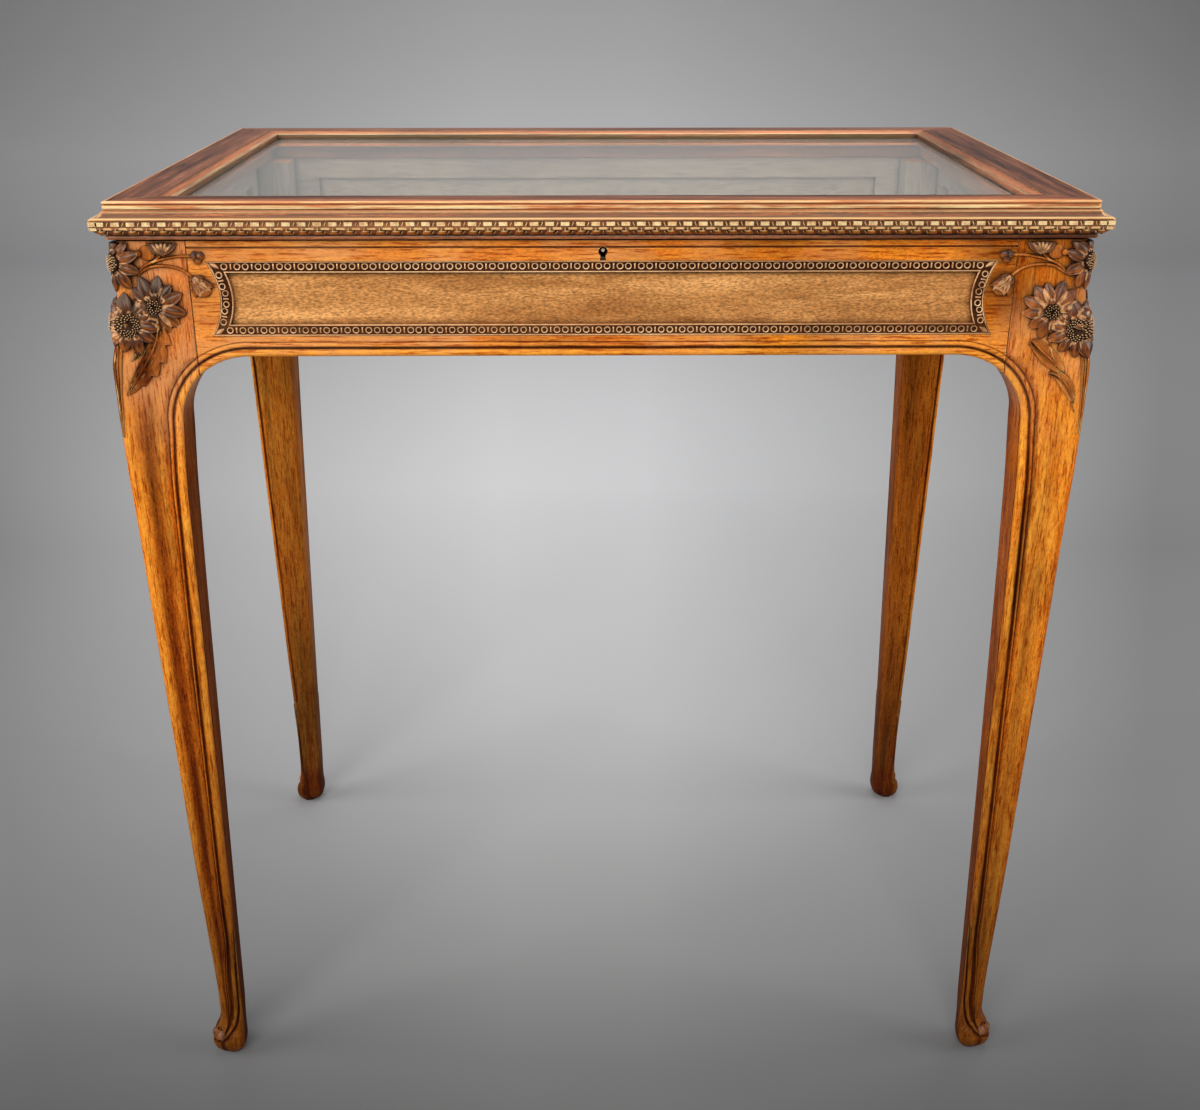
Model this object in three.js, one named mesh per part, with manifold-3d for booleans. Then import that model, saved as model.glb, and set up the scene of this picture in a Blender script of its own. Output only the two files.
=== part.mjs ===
// Collectors display table: a glazed, hinged lid on a shallow locked case with four scroll-footed legs.
// Lengths are millimetres. +X is to the viewer's right, +Y is away from the viewer, +Z is up.
// The origin is on the floor, under the middle of the table.

import * as THREE from "three";
import { mergeVertices } from "three/addons/utils/BufferGeometryUtils.js";
import Module from "manifold-3d";

const wasm = await Module();
wasm.setup();

// Overall sizes
const tableHeight = 780;
const lidWidth = 720;
const lidDepth = 460;
const lidThickness = 27.5;
const lidGap = 1.5;
const caseInset = 3;

// Clearances
const fitGap = 0.3;
const looseGap = 0.6;
const overrun = 2;

// Case boards
const apronHeight = 87;
const apronThickness = 20;
const tenonThickness = 8;
const tenonLength = 24;
const tenonHeight = 52;
const topGrooveWidth = 1.6;
const topGrooveDepth = 1;
const topGrooveDrop = 4;

// Cartouche on each apron: a sunk band round a sunk panel, both with hollow ends
const cartoucheInset = 13;
const cartoucheDrop = 15;
const cartoucheLift = 16;
const cartoucheSag = 8.5;
const bandWidth = 14;
const bandHeight = 8.5;
const bandDepth = 1.2;
const fieldSag = 4;
const filletWidth = 1;
const panelSink = 4;
const panelThickness = 10;
const panelLap = 4;
const endArcSteps = 6;

// Bead and quirk that run under the apron, round the bracket and down the leg
const beadWidth = 6;
const beadDepth = 3;
const quirkWidth = 2;
const quirkDepth = 2.4;
const bracketSpan = 55;
const bracketRise = 50;
const bracketSteps = 6;

// Legs
const postWidth = 52;
const kneeInner = 36;
const kneeSwell = 10;
const hollowDepth = 1.2;
const outerCornerRadius = 6;
const innerCornerRadius = 9;
const postCornerRadius = 1.5;
const flushHeight = 60;
const scrollHeight = 60;
const scrollEnd = 16;
const scrollCurve = 2.4;
const padLip = 1.4;

// Lid mouldings
const stileFlat = 34;
const railFlat = 25;
const stripWidth = 8.5;
const bandReach = 10;
const glassThickness = 3;
const glassDrop = 6.8;
const glassLap = 6;
const glazingBeadHeight = 7;
const glazingBeadChamfer = 2;

// Bottom of the display case
const boardThickness = 6;
const boardRise = 8.3;
const bearerWidth = 10;
const bearerHeight = 8;

// Hinges
const hingeLength = 50;
const hingeSpread = 440;
const leafThickness = 1.6;
const leafWidth = 18;
const knuckleRadius = 3.2;
const pinRadius = 1.6;
const pinStandOff = 4.5;
const pinClearance = 0.15;
const knuckleCount = 5;
const pinHeadRadius = 2.6;
const pinHeadLength = 1.2;

// Box lock
const lockHalfLength = 28;
const lockHeight = 18.5;
const lockDepth = 9;
const lockWall = 1.2;
const selvedgeThickness = 1.6;
const keyRise = 8.4;
const keyholeRadius = 3.5;
const keyholeSlotWidth = 4.6;
const keyholeSlotDrop = 7.2;
const drillPinRadius = 1.3;
const drillPinLength = 14;
const stapleSpread = 34;
const stapleThickness = 2;
const stapleWidth = 5.4;
const stapleDrop = 7;
const boltThickness = 2.6;
const boltBarHeight = 4;
const boltFingerHeight = 2.8;
const boltUprightWidth = 2.4;
const boltThrow = 5;
const talonWidth = 5;
const talonDepth = 1.8;

// Round shapes
const roundSides = 16;

// Places worked out from the sizes
const caseTop = tableHeight - lidThickness - lidGap;
const caseBottom = caseTop - apronHeight;
const halfWidth = lidWidth / 2 - caseInset;
const halfDepth = lidDepth / 2 - caseInset;
const lidBottom = tableHeight - lidThickness;
const bracketFoot = caseBottom - bracketRise;
const bracketReach = kneeInner + bracketSpan - postWidth;

// Leg lines as pairs: share of the case height, then share of the size named beside each table
// Swell of the leg above its foot, of kneeSwell
const kneeLineShares = [
  [0.11, -0.42], [0.17, -0.26], [0.28, 0.02], [0.4, 0.24], [0.55, 0.54], [0.7, 0.8], [0.8, 1],
  [0.87, 0.98], [0.93, 0.6], [1, 0],
];
// Swell of the outer corner, of kneeSwell
const outerLineShares = [
  [0, -0.25], [0.0025, 0.3], [0.006, 0.55], [0.012, 0.76], [0.022, 0.82],
  [0.032, 0.58], [0.042, 0.06], [0.055, -0.36], [0.075, -0.46],
  ...kneeLineShares,
];
// Swell of the foot pad and of the inner edge, of kneeSwell
const padLineShares = [
  [0, -0.25], [0.0025, 0.3], [0.006, 0.55], [0.012, 0.76], [0.022, 0.82],
  [0.032, 0.64], [0.042, 0.3], [0.055, -0.05], [0.075, -0.36],
  ...kneeLineShares,
];
// Distance from the case face to the leg's inner edge, of kneeInner
const innerLineShares = [
  [0, 0.5], [0.0025, 0.58], [0.006, 0.645], [0.012, 0.7], [0.022, 0.725], [0.045, 0.72], [0.08, 0.73],
  [0.15, 0.75], [0.28, 0.79], [0.45, 0.85], [0.62, 0.91], [0.74, 0.965], [0.82, 1], [1, 1],
];
// Width of the bead, of its width on the apron
const beadLineShares = [[0, 0.7], [0.15, 0.75], [0.8, 1], [1, 1]];
// Radius of the outer corner, of its radius on the leg
const cornerLineShares = [[0, 1.5], [0.03, 1.5], [0.06, 1], [1, 1]];
// Heights of the leg's plain cross-sections, of the case height
const legStationShares = [
  0, 0.0025, 0.006, 0.012, 0.13, 0.2, 0.3, 0.4, 0.5, 0.6, 0.7, 0.78, 0.885, 0.92, 0.95, 1,
];
// Heights of the cross-sections through the scroll, of the scroll's height above its end
const scrollStationShares = [0, 0.14, 0.3, 0.46, 0.64, 0.82, 1];
// Bead and quirk section from the inner edge: share of the bead's or quirk's width, share of its depth
const beadArcShares = [[0, 1], [0.14, 0.38], [0.5, 0.08], [0.86, 0.38]];
const quirkFloorShare = 0.7;
const hollowPlaceShare = 0.45;

// Outer moulding of the lid: share of the band's reach, share of the lid's thickness
const lidMouldingShares = [
  [-0.15, 0], [0.05, 0.03], [0.05, 0.113], [0.2, 0.15], [0.6, 0.222], [0.86, 0.3], [0.94, 0.375],
  [1, 0.404], [1, 0.527], [0.92, 0.57], [0.8, 0.593], [0.5, 0.615], [0.26, 0.665], [0.14, 0.742],
  [0.14, 0.775], [0.03, 0.79], [0.03, 0.927], [0.09, 0.95], [0.06, 0.985], [-0.04, 1],
];
// Inner strip of the lid: share of the strip's width from the flat, share of the glass's depth below the top
const lidStripShares = [[0, 0], [0.1, 0.12], [0.74, 0.42], [0.93, 0.5], [1, 0.68], [1, 1]];

const walnut = { color: 0xa8642e, roughness: 0.45 };
const lidWalnut = { color: 0x7c5040, roughness: 0.4 };
const panelWood = { color: 0xa4743f, roughness: 0.5 };
const insideWood = { color: 0xb9a88e, roughness: 0.8 };
const brass = { color: 0xa8843c, roughness: 0.35, metalness: 1 };
const steel = { color: 0x77736c, roughness: 0.4, metalness: 1 };
const clearGlass = { color: 0xdfe8e4, roughness: 0.05, transparent: true, opacity: 0.35 };

const table = new THREE.Group();

// Adds a named piece to the table
function addPiece(name, geometry, look, place = {}) {
  const mesh = new THREE.Mesh(geometry, new THREE.MeshStandardMaterial(look));
  mesh.name = name;
  mesh.position.set(place.x ?? 0, place.y ?? 0, place.z ?? 0);
  mesh.rotation.z = place.turn ?? 0;
  table.add(mesh);
}

// Smooth value of a table of pairs at a given share, without overshoot between the pairs
function along(pairs, share) {
  const last = pairs.length - 1;
  if (share <= pairs[0][0]) return pairs[0][1];
  if (share >= pairs[last][0]) return pairs[last][1];
  const slope = (i) => (pairs[i + 1][1] - pairs[i][1]) / (pairs[i + 1][0] - pairs[i][0]);
  const tangent = (i) => {
    if (i === 0) return slope(0);
    if (i === last) return slope(last - 1);
    const before = slope(i - 1);
    const after = slope(i);
    return before * after <= 0 ? 0 : (2 * before * after) / (before + after);
  };
  let i = 0;
  while (share > pairs[i + 1][0]) i += 1;
  const span = pairs[i + 1][0] - pairs[i][0];
  const t = (share - pairs[i][0]) / span;
  const t2 = t * t;
  const t3 = t2 * t;
  const start = pairs[i][1] * (2 * t3 - 3 * t2 + 1) + tangent(i) * span * (t3 - 2 * t2 + t);
  const end = pairs[i + 1][1] * (3 * t2 - 2 * t3) + tangent(i + 1) * span * (t3 - t2);
  return start + end;
}

function smoothStep(low, high, value) {
  const t = THREE.MathUtils.clamp((value - low) / (high - low), 0, 1);
  return t * t * (3 - 2 * t);
}

// Turns points and triangles into a closed mesh: equal points are welded, and faces point outwards
function closedGeometry(points, triangles) {
  const grain = 1e-4;
  const places = new Map();
  const welded = [];
  const ids = points.map((point) => {
    const key = point.map((value) => Math.round(value / grain)).join();
    if (!places.has(key)) {
      places.set(key, welded.length);
      welded.push(point);
    }
    return places.get(key);
  });
  let faces = triangles.map((face) => face.map((corner) => ids[corner]));
  faces = faces.filter(([a, b, c]) => a !== b && b !== c && c !== a);
  const corner = (id) => new THREE.Vector3(...welded[id]);
  const volume = faces.reduce((sum, [a, b, c]) => sum + corner(a).dot(corner(b).cross(corner(c))), 0);
  if (volume < 0) faces = faces.map(([a, b, c]) => [a, c, b]);
  const geometry = new THREE.BufferGeometry();
  geometry.setAttribute("position", new THREE.Float32BufferAttribute(welded.flat(), 3));
  geometry.setIndex(faces.flat());
  geometry.computeVertexNormals();
  return geometry;
}

// Skins a row of rings with equal counts, and closes both ends by the flat outline of each
function loft(rings, outlineOf) {
  const count = rings[0].length;
  const triangles = [];
  for (let r = 0; r < rings.length - 1; r++) {
    for (let i = 0; i < count; i++) {
      const a = r * count + i;
      const b = r * count + ((i + 1) % count);
      triangles.push([a, b, b + count], [a, b + count, a + count]);
    }
  }
  const cap = (ring, offset, forward) => {
    const outline = outlineOf(ring).map(([x, y]) => new THREE.Vector2(x, y));
    const sense = THREE.ShapeUtils.isClockWise(outline);
    for (const face of THREE.ShapeUtils.triangulateShape([...outline], [])) {
      const same = THREE.ShapeUtils.isClockWise(face.map((id) => outline[id])) === sense;
      const corners = face.map((id) => id + offset);
      triangles.push(same === forward ? corners : corners.reverse());
    }
  };
  cap(rings[0], 0, false);
  cap(rings.at(-1), (rings.length - 1) * count, true);
  return closedGeometry(rings.flat(), triangles);
}

// Joining and cutting
function toSolid(geometry) {
  const bare = geometry.clone();
  bare.deleteAttribute("normal");
  bare.deleteAttribute("uv");
  const merged = mergeVertices(bare, 1e-5);
  const vertProperties = new Float32Array(merged.attributes.position.array);
  const triVerts = new Uint32Array(merged.index.array);
  return new wasm.Manifold(new wasm.Mesh({ numProp: 3, vertProperties, triVerts }));
}

function toGeometry(solid) {
  const mesh = solid.getMesh();
  const geometry = new THREE.BufferGeometry();
  geometry.setAttribute("position", new THREE.BufferAttribute(mesh.vertProperties, mesh.numProp));
  geometry.setIndex(new THREE.BufferAttribute(mesh.triVerts, 1));
  geometry.computeVertexNormals();
  return geometry;
}

function shapedBy(base, { cuts = [], joins = [] }) {
  let solid = toSolid(base);
  for (const join of joins) solid = solid.add(toSolid(join));
  for (const cut of cuts) solid = solid.subtract(toSolid(cut));
  return toGeometry(solid);
}

// Box between two opposite corners
function boxBetween(low, high) {
  const size = high.map((value, axis) => value - low[axis]);
  const centre = high.map((value, axis) => (value + low[axis]) / 2);
  return new THREE.BoxGeometry(...size).translate(...centre);
}

// Slab with an outline in X and Z, between two places along Y
function slabAcross(outline, fromY, toY, holes = []) {
  const shape = new THREE.Shape(outline.map(([x, z]) => new THREE.Vector2(x, z)));
  shape.holes = holes.map((hole) => new THREE.Path(hole.map(([x, z]) => new THREE.Vector2(x, z))));
  const slab = new THREE.ExtrudeGeometry(shape, { depth: toY - fromY, bevelEnabled: false });
  return slab.rotateX(Math.PI / 2).translate(0, toY, 0);
}

// Round bar along X or Y, from its start to its end
function rodAlongX(radius, fromX, toX, y, z) {
  const rod = new THREE.CylinderGeometry(radius, radius, toX - fromX, roundSides);
  return rod.rotateZ(Math.PI / 2).translate((fromX + toX) / 2, y, z);
}

function rodAlongY(radius, fromY, toY, x, z) {
  const rod = new THREE.CylinderGeometry(radius, radius, toY - fromY, roundSides);
  return rod.translate(x, (fromY + toY) / 2, z);
}

// Distance and depth of each point of the bead and quirk, from the inner edge outwards
function mouldingSection(scale) {
  const bead = beadWidth * scale;
  const quirk = quirkWidth * scale;
  const arc = beadArcShares.map(([place, sink]) => [bead * place, beadDepth * scale * sink]);
  const floor = quirkDepth * scale;
  return [...arc, [bead, floor], [bead + quirk * quirkFloorShare, floor], [bead + quirk, 0]];
}

// Height at which a line at a distance outside the bracket's curve crosses the joint of leg and apron
function jointHeight(distance) {
  const share = bracketReach / (bracketSpan + distance);
  return bracketFoot + (bracketRise + distance) * Math.sqrt(1 - share * share);
}

// Legs

// Distance from the case face to a line at a given distance outside the leg's inner edge
function edgeAt(height, distance) {
  if (height <= bracketFoot) return kneeInner * along(innerLineShares, height / caseTop) - distance;
  const climb = (height - bracketFoot) / (bracketRise + distance);
  if (climb >= 1) return postWidth;
  const run = (bracketSpan + distance) * Math.sqrt(1 - climb * climb);
  return Math.min(postWidth, kneeInner + bracketSpan - run);
}

// Depth of the moulding at the joint line, for a height at which part of it has crossed the line
function depthAtJoint(height, section) {
  for (let i = 0; i < section.length - 1; i++) {
    const low = jointHeight(section[i][0]);
    const high = jointHeight(section[i + 1][0]);
    if (height >= low && height <= high) {
      return THREE.MathUtils.lerp(section[i][1], section[i + 1][1], (height - low) / (high - low));
    }
  }
  return 0;
}

// Outline of the leg at a height, as distances in from the two case faces, mirrored about its diagonal
function legOutline(height) {
  const share = height / caseTop;
  const free = 1 - smoothStep(bracketFoot - flushHeight, jointHeight(0), height);
  const corner = kneeSwell * along(outerLineShares, share);
  const inner = kneeSwell * along(padLineShares, share) * free;
  const scale = along(beadLineShares, share);
  const section = mouldingSection(scale);
  const innerEdge = edgeAt(height, 0);
  const round = outerCornerRadius * along(cornerLineShares, share);
  const faceStart = round - corner;
  const curlShare = 1 - THREE.MathUtils.clamp((height - scrollEnd) / (scrollHeight - scrollEnd), 0, 1);
  const curl = curlShare ** scrollCurve * (innerEdge - faceStart);

  const half = [];
  for (const turn of [Math.PI / 4, Math.PI / 8, 0]) {
    half.push([faceStart - round * Math.sin(turn), faceStart - round * Math.cos(turn)]);
  }

  const moulding = section.map(([distance, depth]) => {
    const place = edgeAt(height, distance) - curl;
    if (place <= faceStart) return [faceStart, -corner];
    if (place >= postWidth) return [postWidth, depthAtJoint(height, section) - inner];
    const towards = THREE.MathUtils.clamp(distance / section.at(-1)[0], 0, 1);
    const swell = curl > 0 ? THREE.MathUtils.lerp(inner, corner, towards) : inner;
    return [place, depth * (distance > 0 ? 1 : 1 - curlShare) - swell];
  }).reverse();

  const faceEnd = moulding[0];
  const hollowPlace = THREE.MathUtils.lerp(faceStart, faceEnd[0], hollowPlaceShare);
  const hollowLevel = THREE.MathUtils.lerp(-corner, faceEnd[1], hollowPlaceShare);
  const hollow = hollowDepth * smoothStep(faceStart, kneeInner / 2, faceEnd[0]) * (1 - curlShare);
  half.push([hollowPlace, hollowLevel + hollow * free], ...moulding);
  half.push([innerEdge, moulding.at(-1)[1] + padLip * curlShare]);

  const radius = THREE.MathUtils.lerp(postCornerRadius, innerCornerRadius, free);
  const centre = innerEdge - radius;
  for (const turn of [0, Math.PI / 8, Math.PI / 4]) {
    half.push([centre + radius * Math.cos(turn), centre + radius * Math.sin(turn)]);
  }
  const other = half.slice(1, -1).reverse().map(([a, b]) => [b, a]);
  return [...half, ...other];
}

function legHeights() {
  const plain = legStationShares.map((share) => share * caseTop);
  const scroll = scrollStationShares.map((share) => scrollEnd + share * (scrollHeight - scrollEnd));
  const joint = mouldingSection(1).map(([distance]) => jointHeight(distance));
  const bracket = [];
  for (let step = 0; step < bracketSteps - 1; step++) {
    const angle = (step / bracketSteps) * Math.acos(bracketReach / bracketSpan);
    bracket.push(bracketFoot + bracketRise * Math.sin(angle));
  }
  return [...plain, ...scroll, ...joint, ...bracket].sort((a, b) => a - b);
}

function leg(sideX, sideY) {
  const rings = legHeights().map((height) => legOutline(height).map(([a, b]) => {
    return [sideX * (halfWidth - a), sideY * (halfDepth - b), height];
  }));
  const blank = loft(rings, (ring) => ring);
  const tenonDeep = (apronThickness - tenonThickness) / 2;
  const tenonTop = caseTop - cartoucheDrop;
  // Mortises run in from the post's two inner faces
  const mortise = (acrossX) => {
    const lengthwise = [postWidth - tenonLength - fitGap, postWidth + overrun];
    const crosswise = [tenonDeep - fitGap, tenonDeep + tenonThickness + fitGap];
    const [spanX, spanY] = acrossX ? [lengthwise, crosswise] : [crosswise, lengthwise];
    const xs = spanX.map((value) => sideX * (halfWidth - value)).sort((a, b) => a - b);
    const ys = spanY.map((value) => sideY * (halfDepth - value)).sort((a, b) => a - b);
    const low = tenonTop - tenonHeight - fitGap;
    return boxBetween([xs[0], ys[0], low], [xs[1], ys[1], tenonTop + fitGap]);
  };
  return shapedBy(blank, { cuts: [mortise(true), mortise(false)] });
}

for (const [depthName, sideY] of [["front", -1], ["back", 1]]) {
  for (const [widthName, sideX] of [["left", -1], ["right", 1]]) {
    addPiece(`leg_${depthName}_${widthName}`, leg(sideX, sideY), walnut);
  }
}

// Aprons, drawn with the outer face on Y = 0 and the board behind it

// Outline with hollow ends, the points going round once
function hollowEnded(halfLength, low, high, sag) {
  const middle = (low + high) / 2;
  const rise = (high - low) / 2;
  const end = (side) => {
    const points = [];
    for (let step = 0; step <= endArcSteps; step++) {
      const share = (2 * step) / endArcSteps - 1;
      points.push([side * (halfLength - sag * (1 - share * share)), middle + side * share * rise]);
    }
    return points;
  };
  return [...end(1), ...end(-1)];
}

// Underside of the apron from its middle line out to the joint, at a distance outside the curve
function undersidePath(halfLength, distance, reach) {
  const centre = halfLength - bracketReach;
  const stop = Math.acos(reach / bracketSpan);
  const points = [];
  for (let step = bracketSteps; step >= 0; step--) {
    const angle = stop + ((Math.PI / 2 - stop) * step) / bracketSteps;
    const x = centre + (bracketSpan + distance) * Math.cos(angle);
    points.push([x, bracketFoot + (bracketRise + distance) * Math.sin(angle)]);
  }
  return [...points.map(([x, z]) => [-x, z]).reverse(), ...points];
}

const field = {
  low: caseBottom + cartoucheLift + bandHeight,
  high: caseTop - cartoucheDrop - bandHeight,
};

function apron(jointPlace) {
  const halfLength = jointPlace - fitGap;
  const underside = undersidePath(jointPlace, 0, bracketReach).map(([x, z]) => {
    return [THREE.MathUtils.clamp(x, -halfLength, halfLength), z];
  });
  const outline = [[halfLength, caseTop], [-halfLength, caseTop], ...underside];
  const fieldEnd = jointPlace - cartoucheInset - bandWidth;
  const opening = hollowEnded(fieldEnd, field.low, field.high, fieldSag);
  const board = slabAcross(outline, 0, apronThickness, [opening]);

  const tenonFront = (apronThickness - tenonThickness) / 2;
  const tenonTop = caseTop - cartoucheDrop;
  const tenon = (side) => {
    const ends = [halfLength - overrun, jointPlace + tenonLength].map((x) => side * x);
    ends.sort((a, b) => a - b);
    const low = [ends[0], tenonFront, tenonTop - tenonHeight];
    return boxBetween(low, [ends[1], tenonFront + tenonThickness, tenonTop]);
  };

  const bandLow = caseBottom + cartoucheLift;
  const bandEnd = jointPlace - cartoucheInset;
  const band = hollowEnded(
    bandEnd - filletWidth,
    bandLow + filletWidth,
    caseTop - cartoucheDrop - filletWidth,
    cartoucheSag,
  );
  const bandCut = slabAcross(band, -overrun, bandDepth);

  const rebateEnd = fieldEnd + panelLap;
  const rebate = boxBetween(
    [-rebateEnd, panelSink, field.low - panelLap],
    [rebateEnd, apronThickness + overrun, field.high + panelLap],
  );

  const grooveTop = caseTop - topGrooveDrop;
  const topGroove = boxBetween(
    [-jointPlace - overrun, -overrun, grooveTop - topGrooveWidth],
    [jointPlace + overrun, topGrooveDepth, grooveTop],
  );

  // Bead and quirk cut by a section that follows the underside
  const section = mouldingSection(1);
  const cutter = [[-overrun, -overrun], [-overrun, section[0][1]], ...section];
  cutter.push([section.at(-1)[0], -overrun]);
  const lines = cutter.map(([distance]) => undersidePath(jointPlace, distance, bracketReach + overrun));
  const rings = lines[0].map((_, station) => cutter.map(([, depth], i) => {
    return [lines[i][station][0], depth, lines[i][station][1]];
  }));
  const moulding = loft(rings, () => cutter);

  return shapedBy(board, { joins: [tenon(1), tenon(-1)], cuts: [bandCut, rebate, topGroove, moulding] });
}

const longJoint = halfWidth - postWidth;
const shortJoint = halfDepth - postWidth;
const keyHeight = caseTop - keyRise;

// Keyhole through the front apron, and the mortise that the box lock drops into
function keyhole(fromY, toY) {
  const slot = boxBetween(
    [-keyholeSlotWidth / 2, fromY, keyHeight - keyholeSlotDrop],
    [keyholeSlotWidth / 2, toY, keyHeight],
  );
  return toGeometry(toSolid(rodAlongY(keyholeRadius, fromY, toY, 0, keyHeight)).add(toSolid(slot)));
}

const lockLow = caseTop - lockHeight;
const lockFront = apronThickness - lockDepth;

function frontApron() {
  const mortise = boxBetween(
    [-lockHalfLength - fitGap, lockFront - fitGap, lockLow - fitGap],
    [lockHalfLength + fitGap, apronThickness + overrun, caseTop + overrun],
  );
  return shapedBy(apron(longJoint), { cuts: [keyhole(-overrun, lockFront), mortise] });
}

// Hinge places along the back
const hingeCentres = [-hingeSpread / 2, hingeSpread / 2];
const pinHeight = caseTop + lidGap / 2;
const pinBack = halfDepth + pinStandOff;

function backApron() {
  const gains = hingeCentres.map((centre) => boxBetween(
    [centre - hingeLength / 2 - fitGap, -overrun, caseTop - leafThickness - fitGap],
    [centre + hingeLength / 2 + fitGap, halfDepth - pinBack + leafWidth + fitGap, caseTop + overrun],
  ));
  return shapedBy(apron(longJoint), { cuts: gains });
}

function panel(jointPlace) {
  const halfLength = jointPlace - cartoucheInset - bandWidth + panelLap - fitGap;
  const front = panelSink + fitGap;
  const low = [-halfLength, front, field.low - panelLap + fitGap];
  return boxBetween(low, [halfLength, front + panelThickness, field.high + panelLap - fitGap]);
}

function sideApron() {
  return apron(shortJoint);
}

// The four sides of a frame whose outer faces stand at x and y from the middle
function fourPlaces(x, y) {
  return {
    front: { y: -y },
    back: { y, turn: Math.PI },
    left: { x: -x, turn: -Math.PI / 2 },
    right: { x, turn: Math.PI / 2 },
  };
}

const casePlaces = fourPlaces(halfWidth, halfDepth);
const sides = [
  { name: "front", joint: longJoint, make: frontApron, place: casePlaces.front },
  { name: "back", joint: longJoint, make: backApron, place: casePlaces.back },
  { name: "left", joint: shortJoint, make: sideApron, place: casePlaces.left },
  { name: "right", joint: shortJoint, make: sideApron, place: casePlaces.right },
];
for (const side of sides) {
  addPiece(`apron_${side.name}`, side.make(), walnut, side.place);
  addPiece(`panel_${side.name}`, panel(side.joint), panelWood, side.place);
}

// Bottom board on four bearers
const insideX = halfWidth - apronThickness - fitGap;
const insideY = halfDepth - apronThickness - fitGap;
const notchX = longJoint - fitGap;
const notchY = shortJoint - fitGap;

function displayBoard() {
  const corners = [[insideX, notchY], [notchX, notchY], [notchX, insideY]];
  const quarter = (sideX, sideY) => corners.map(([x, y]) => [sideX * x, sideY * y]);
  const outline = [
    ...quarter(1, 1), ...quarter(-1, 1).reverse(), ...quarter(-1, -1), ...quarter(1, -1).reverse(),
  ];
  const shape = new THREE.Shape(outline.map(([x, y]) => new THREE.Vector2(x, y)));
  const board = new THREE.ExtrudeGeometry(shape, { depth: boardThickness, bevelEnabled: false });
  return board.translate(0, 0, caseBottom + boardRise);
}
addPiece("display_board", displayBoard(), insideWood);

for (const side of sides) {
  const long = side.joint === longJoint;
  const halfLength = side.joint - fitGap - (long ? 0 : bearerWidth);
  const back = apronThickness + fitGap;
  const high = [halfLength, back + bearerWidth, caseBottom + bearerHeight];
  const bearer = boxBetween([-halfLength, back, caseBottom], high);
  addPiece(`bearer_${side.name}`, bearer, insideWood, side.place);
}

// Lid members: one profile with mitred ends

// Profile as distance outside the lid's top edge, distance in from it as a share of the flat, and height
function lidProfile(flat) {
  const outer = lidMouldingShares.map(([reach, rise]) => {
    return [reach * bandReach, lidBottom + rise * lidThickness];
  });
  const strip = lidStripShares.map(([inward, drop]) => {
    return [-flat - inward * stripWidth, tableHeight - drop * glassDrop];
  });
  const rebate = -flat - stripWidth + glassLap + fitGap;
  return [...outer, ...strip, [rebate, tableHeight - glassDrop], [rebate, lidBottom]];
}

// Bar whose ends meet the next bar on the same mitre
function mitredBar(profile, otherProfile, halfSpan) {
  const end = (side) => profile.map(([out, z], i) => {
    return [side * (halfSpan + otherProfile[i][0] - fitGap / 2), -out, z];
  });
  return loft([end(-1), end(1)], () => profile);
}

const railProfile = lidProfile(railFlat);
const stileProfile = lidProfile(stileFlat);

function lidRail() {
  return mitredBar(railProfile, stileProfile, lidWidth / 2);
}

function backLidRail() {
  const pinLine = lidDepth / 2 - pinBack;
  const cuts = hingeCentres.flatMap((centre) => {
    const low = centre - hingeLength / 2 - fitGap;
    const high = centre + hingeLength / 2 + fitGap;
    const gain = boxBetween(
      [low, -bandReach, lidBottom - overrun],
      [high, pinLine + leafWidth + fitGap, lidBottom + leafThickness + fitGap],
    );
    const ends = [low - pinHeadLength, high + pinHeadLength];
    const barrel = rodAlongX(knuckleRadius + looseGap, ...ends, pinLine, pinHeight);
    return [gain, barrel];
  });
  return shapedBy(lidRail(), { cuts });
}

function frontLidRail() {
  const front = lidDepth / 2 - halfDepth + lockFront;
  const recess = boxBetween(
    [-lockHalfLength - fitGap, front - fitGap, lidBottom - overrun],
    [lockHalfLength + fitGap, front + lockDepth + fitGap, lidBottom + selvedgeThickness + fitGap],
  );
  return shapedBy(lidRail(), { cuts: [recess] });
}

function lidStile() {
  return mitredBar(stileProfile, railProfile, lidDepth / 2);
}

const lidPlaces = fourPlaces(lidWidth / 2, lidDepth / 2);
addPiece("lid_rail_front", frontLidRail(), lidWalnut, lidPlaces.front);
addPiece("lid_rail_back", backLidRail(), lidWalnut, lidPlaces.back);
addPiece("lid_stile_left", lidStile(), lidWalnut, lidPlaces.left);
addPiece("lid_stile_right", lidStile(), lidWalnut, lidPlaces.right);

// Glass in its rebate, held up by four glazing beads
const openingX = lidWidth / 2 - stileFlat - stripWidth;
const openingY = lidDepth / 2 - railFlat - stripWidth;
const glassTop = tableHeight - glassDrop - fitGap;
const glassBottom = glassTop - glassThickness;
addPiece("lid_glass", boxBetween(
  [-openingX - glassLap, -openingY - glassLap, glassBottom],
  [openingX + glassLap, openingY + glassLap, glassTop],
), clearGlass);

function glazingBead(opening) {
  const top = glassBottom - fitGap;
  const low = top - glazingBeadHeight;
  const chamferTop = low + glazingBeadChamfer;
  const profile = [
    [glassLap, low], [glassLap, top], [0, top], [0, chamferTop], [glazingBeadChamfer, low],
  ];
  return mitredBar(profile, profile, opening);
}
const openingPlaces = fourPlaces(openingX, openingY);
addPiece("glazing_bead_front", glazingBead(openingX), lidWalnut, openingPlaces.front);
addPiece("glazing_bead_back", glazingBead(openingX), lidWalnut, openingPlaces.back);
addPiece("glazing_bead_left", glazingBead(openingY), lidWalnut, openingPlaces.left);
addPiece("glazing_bead_right", glazingBead(openingY), lidWalnut, openingPlaces.right);

// Butt hinges: the lower leaf has the odd knuckles, the upper leaf the even ones

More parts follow.
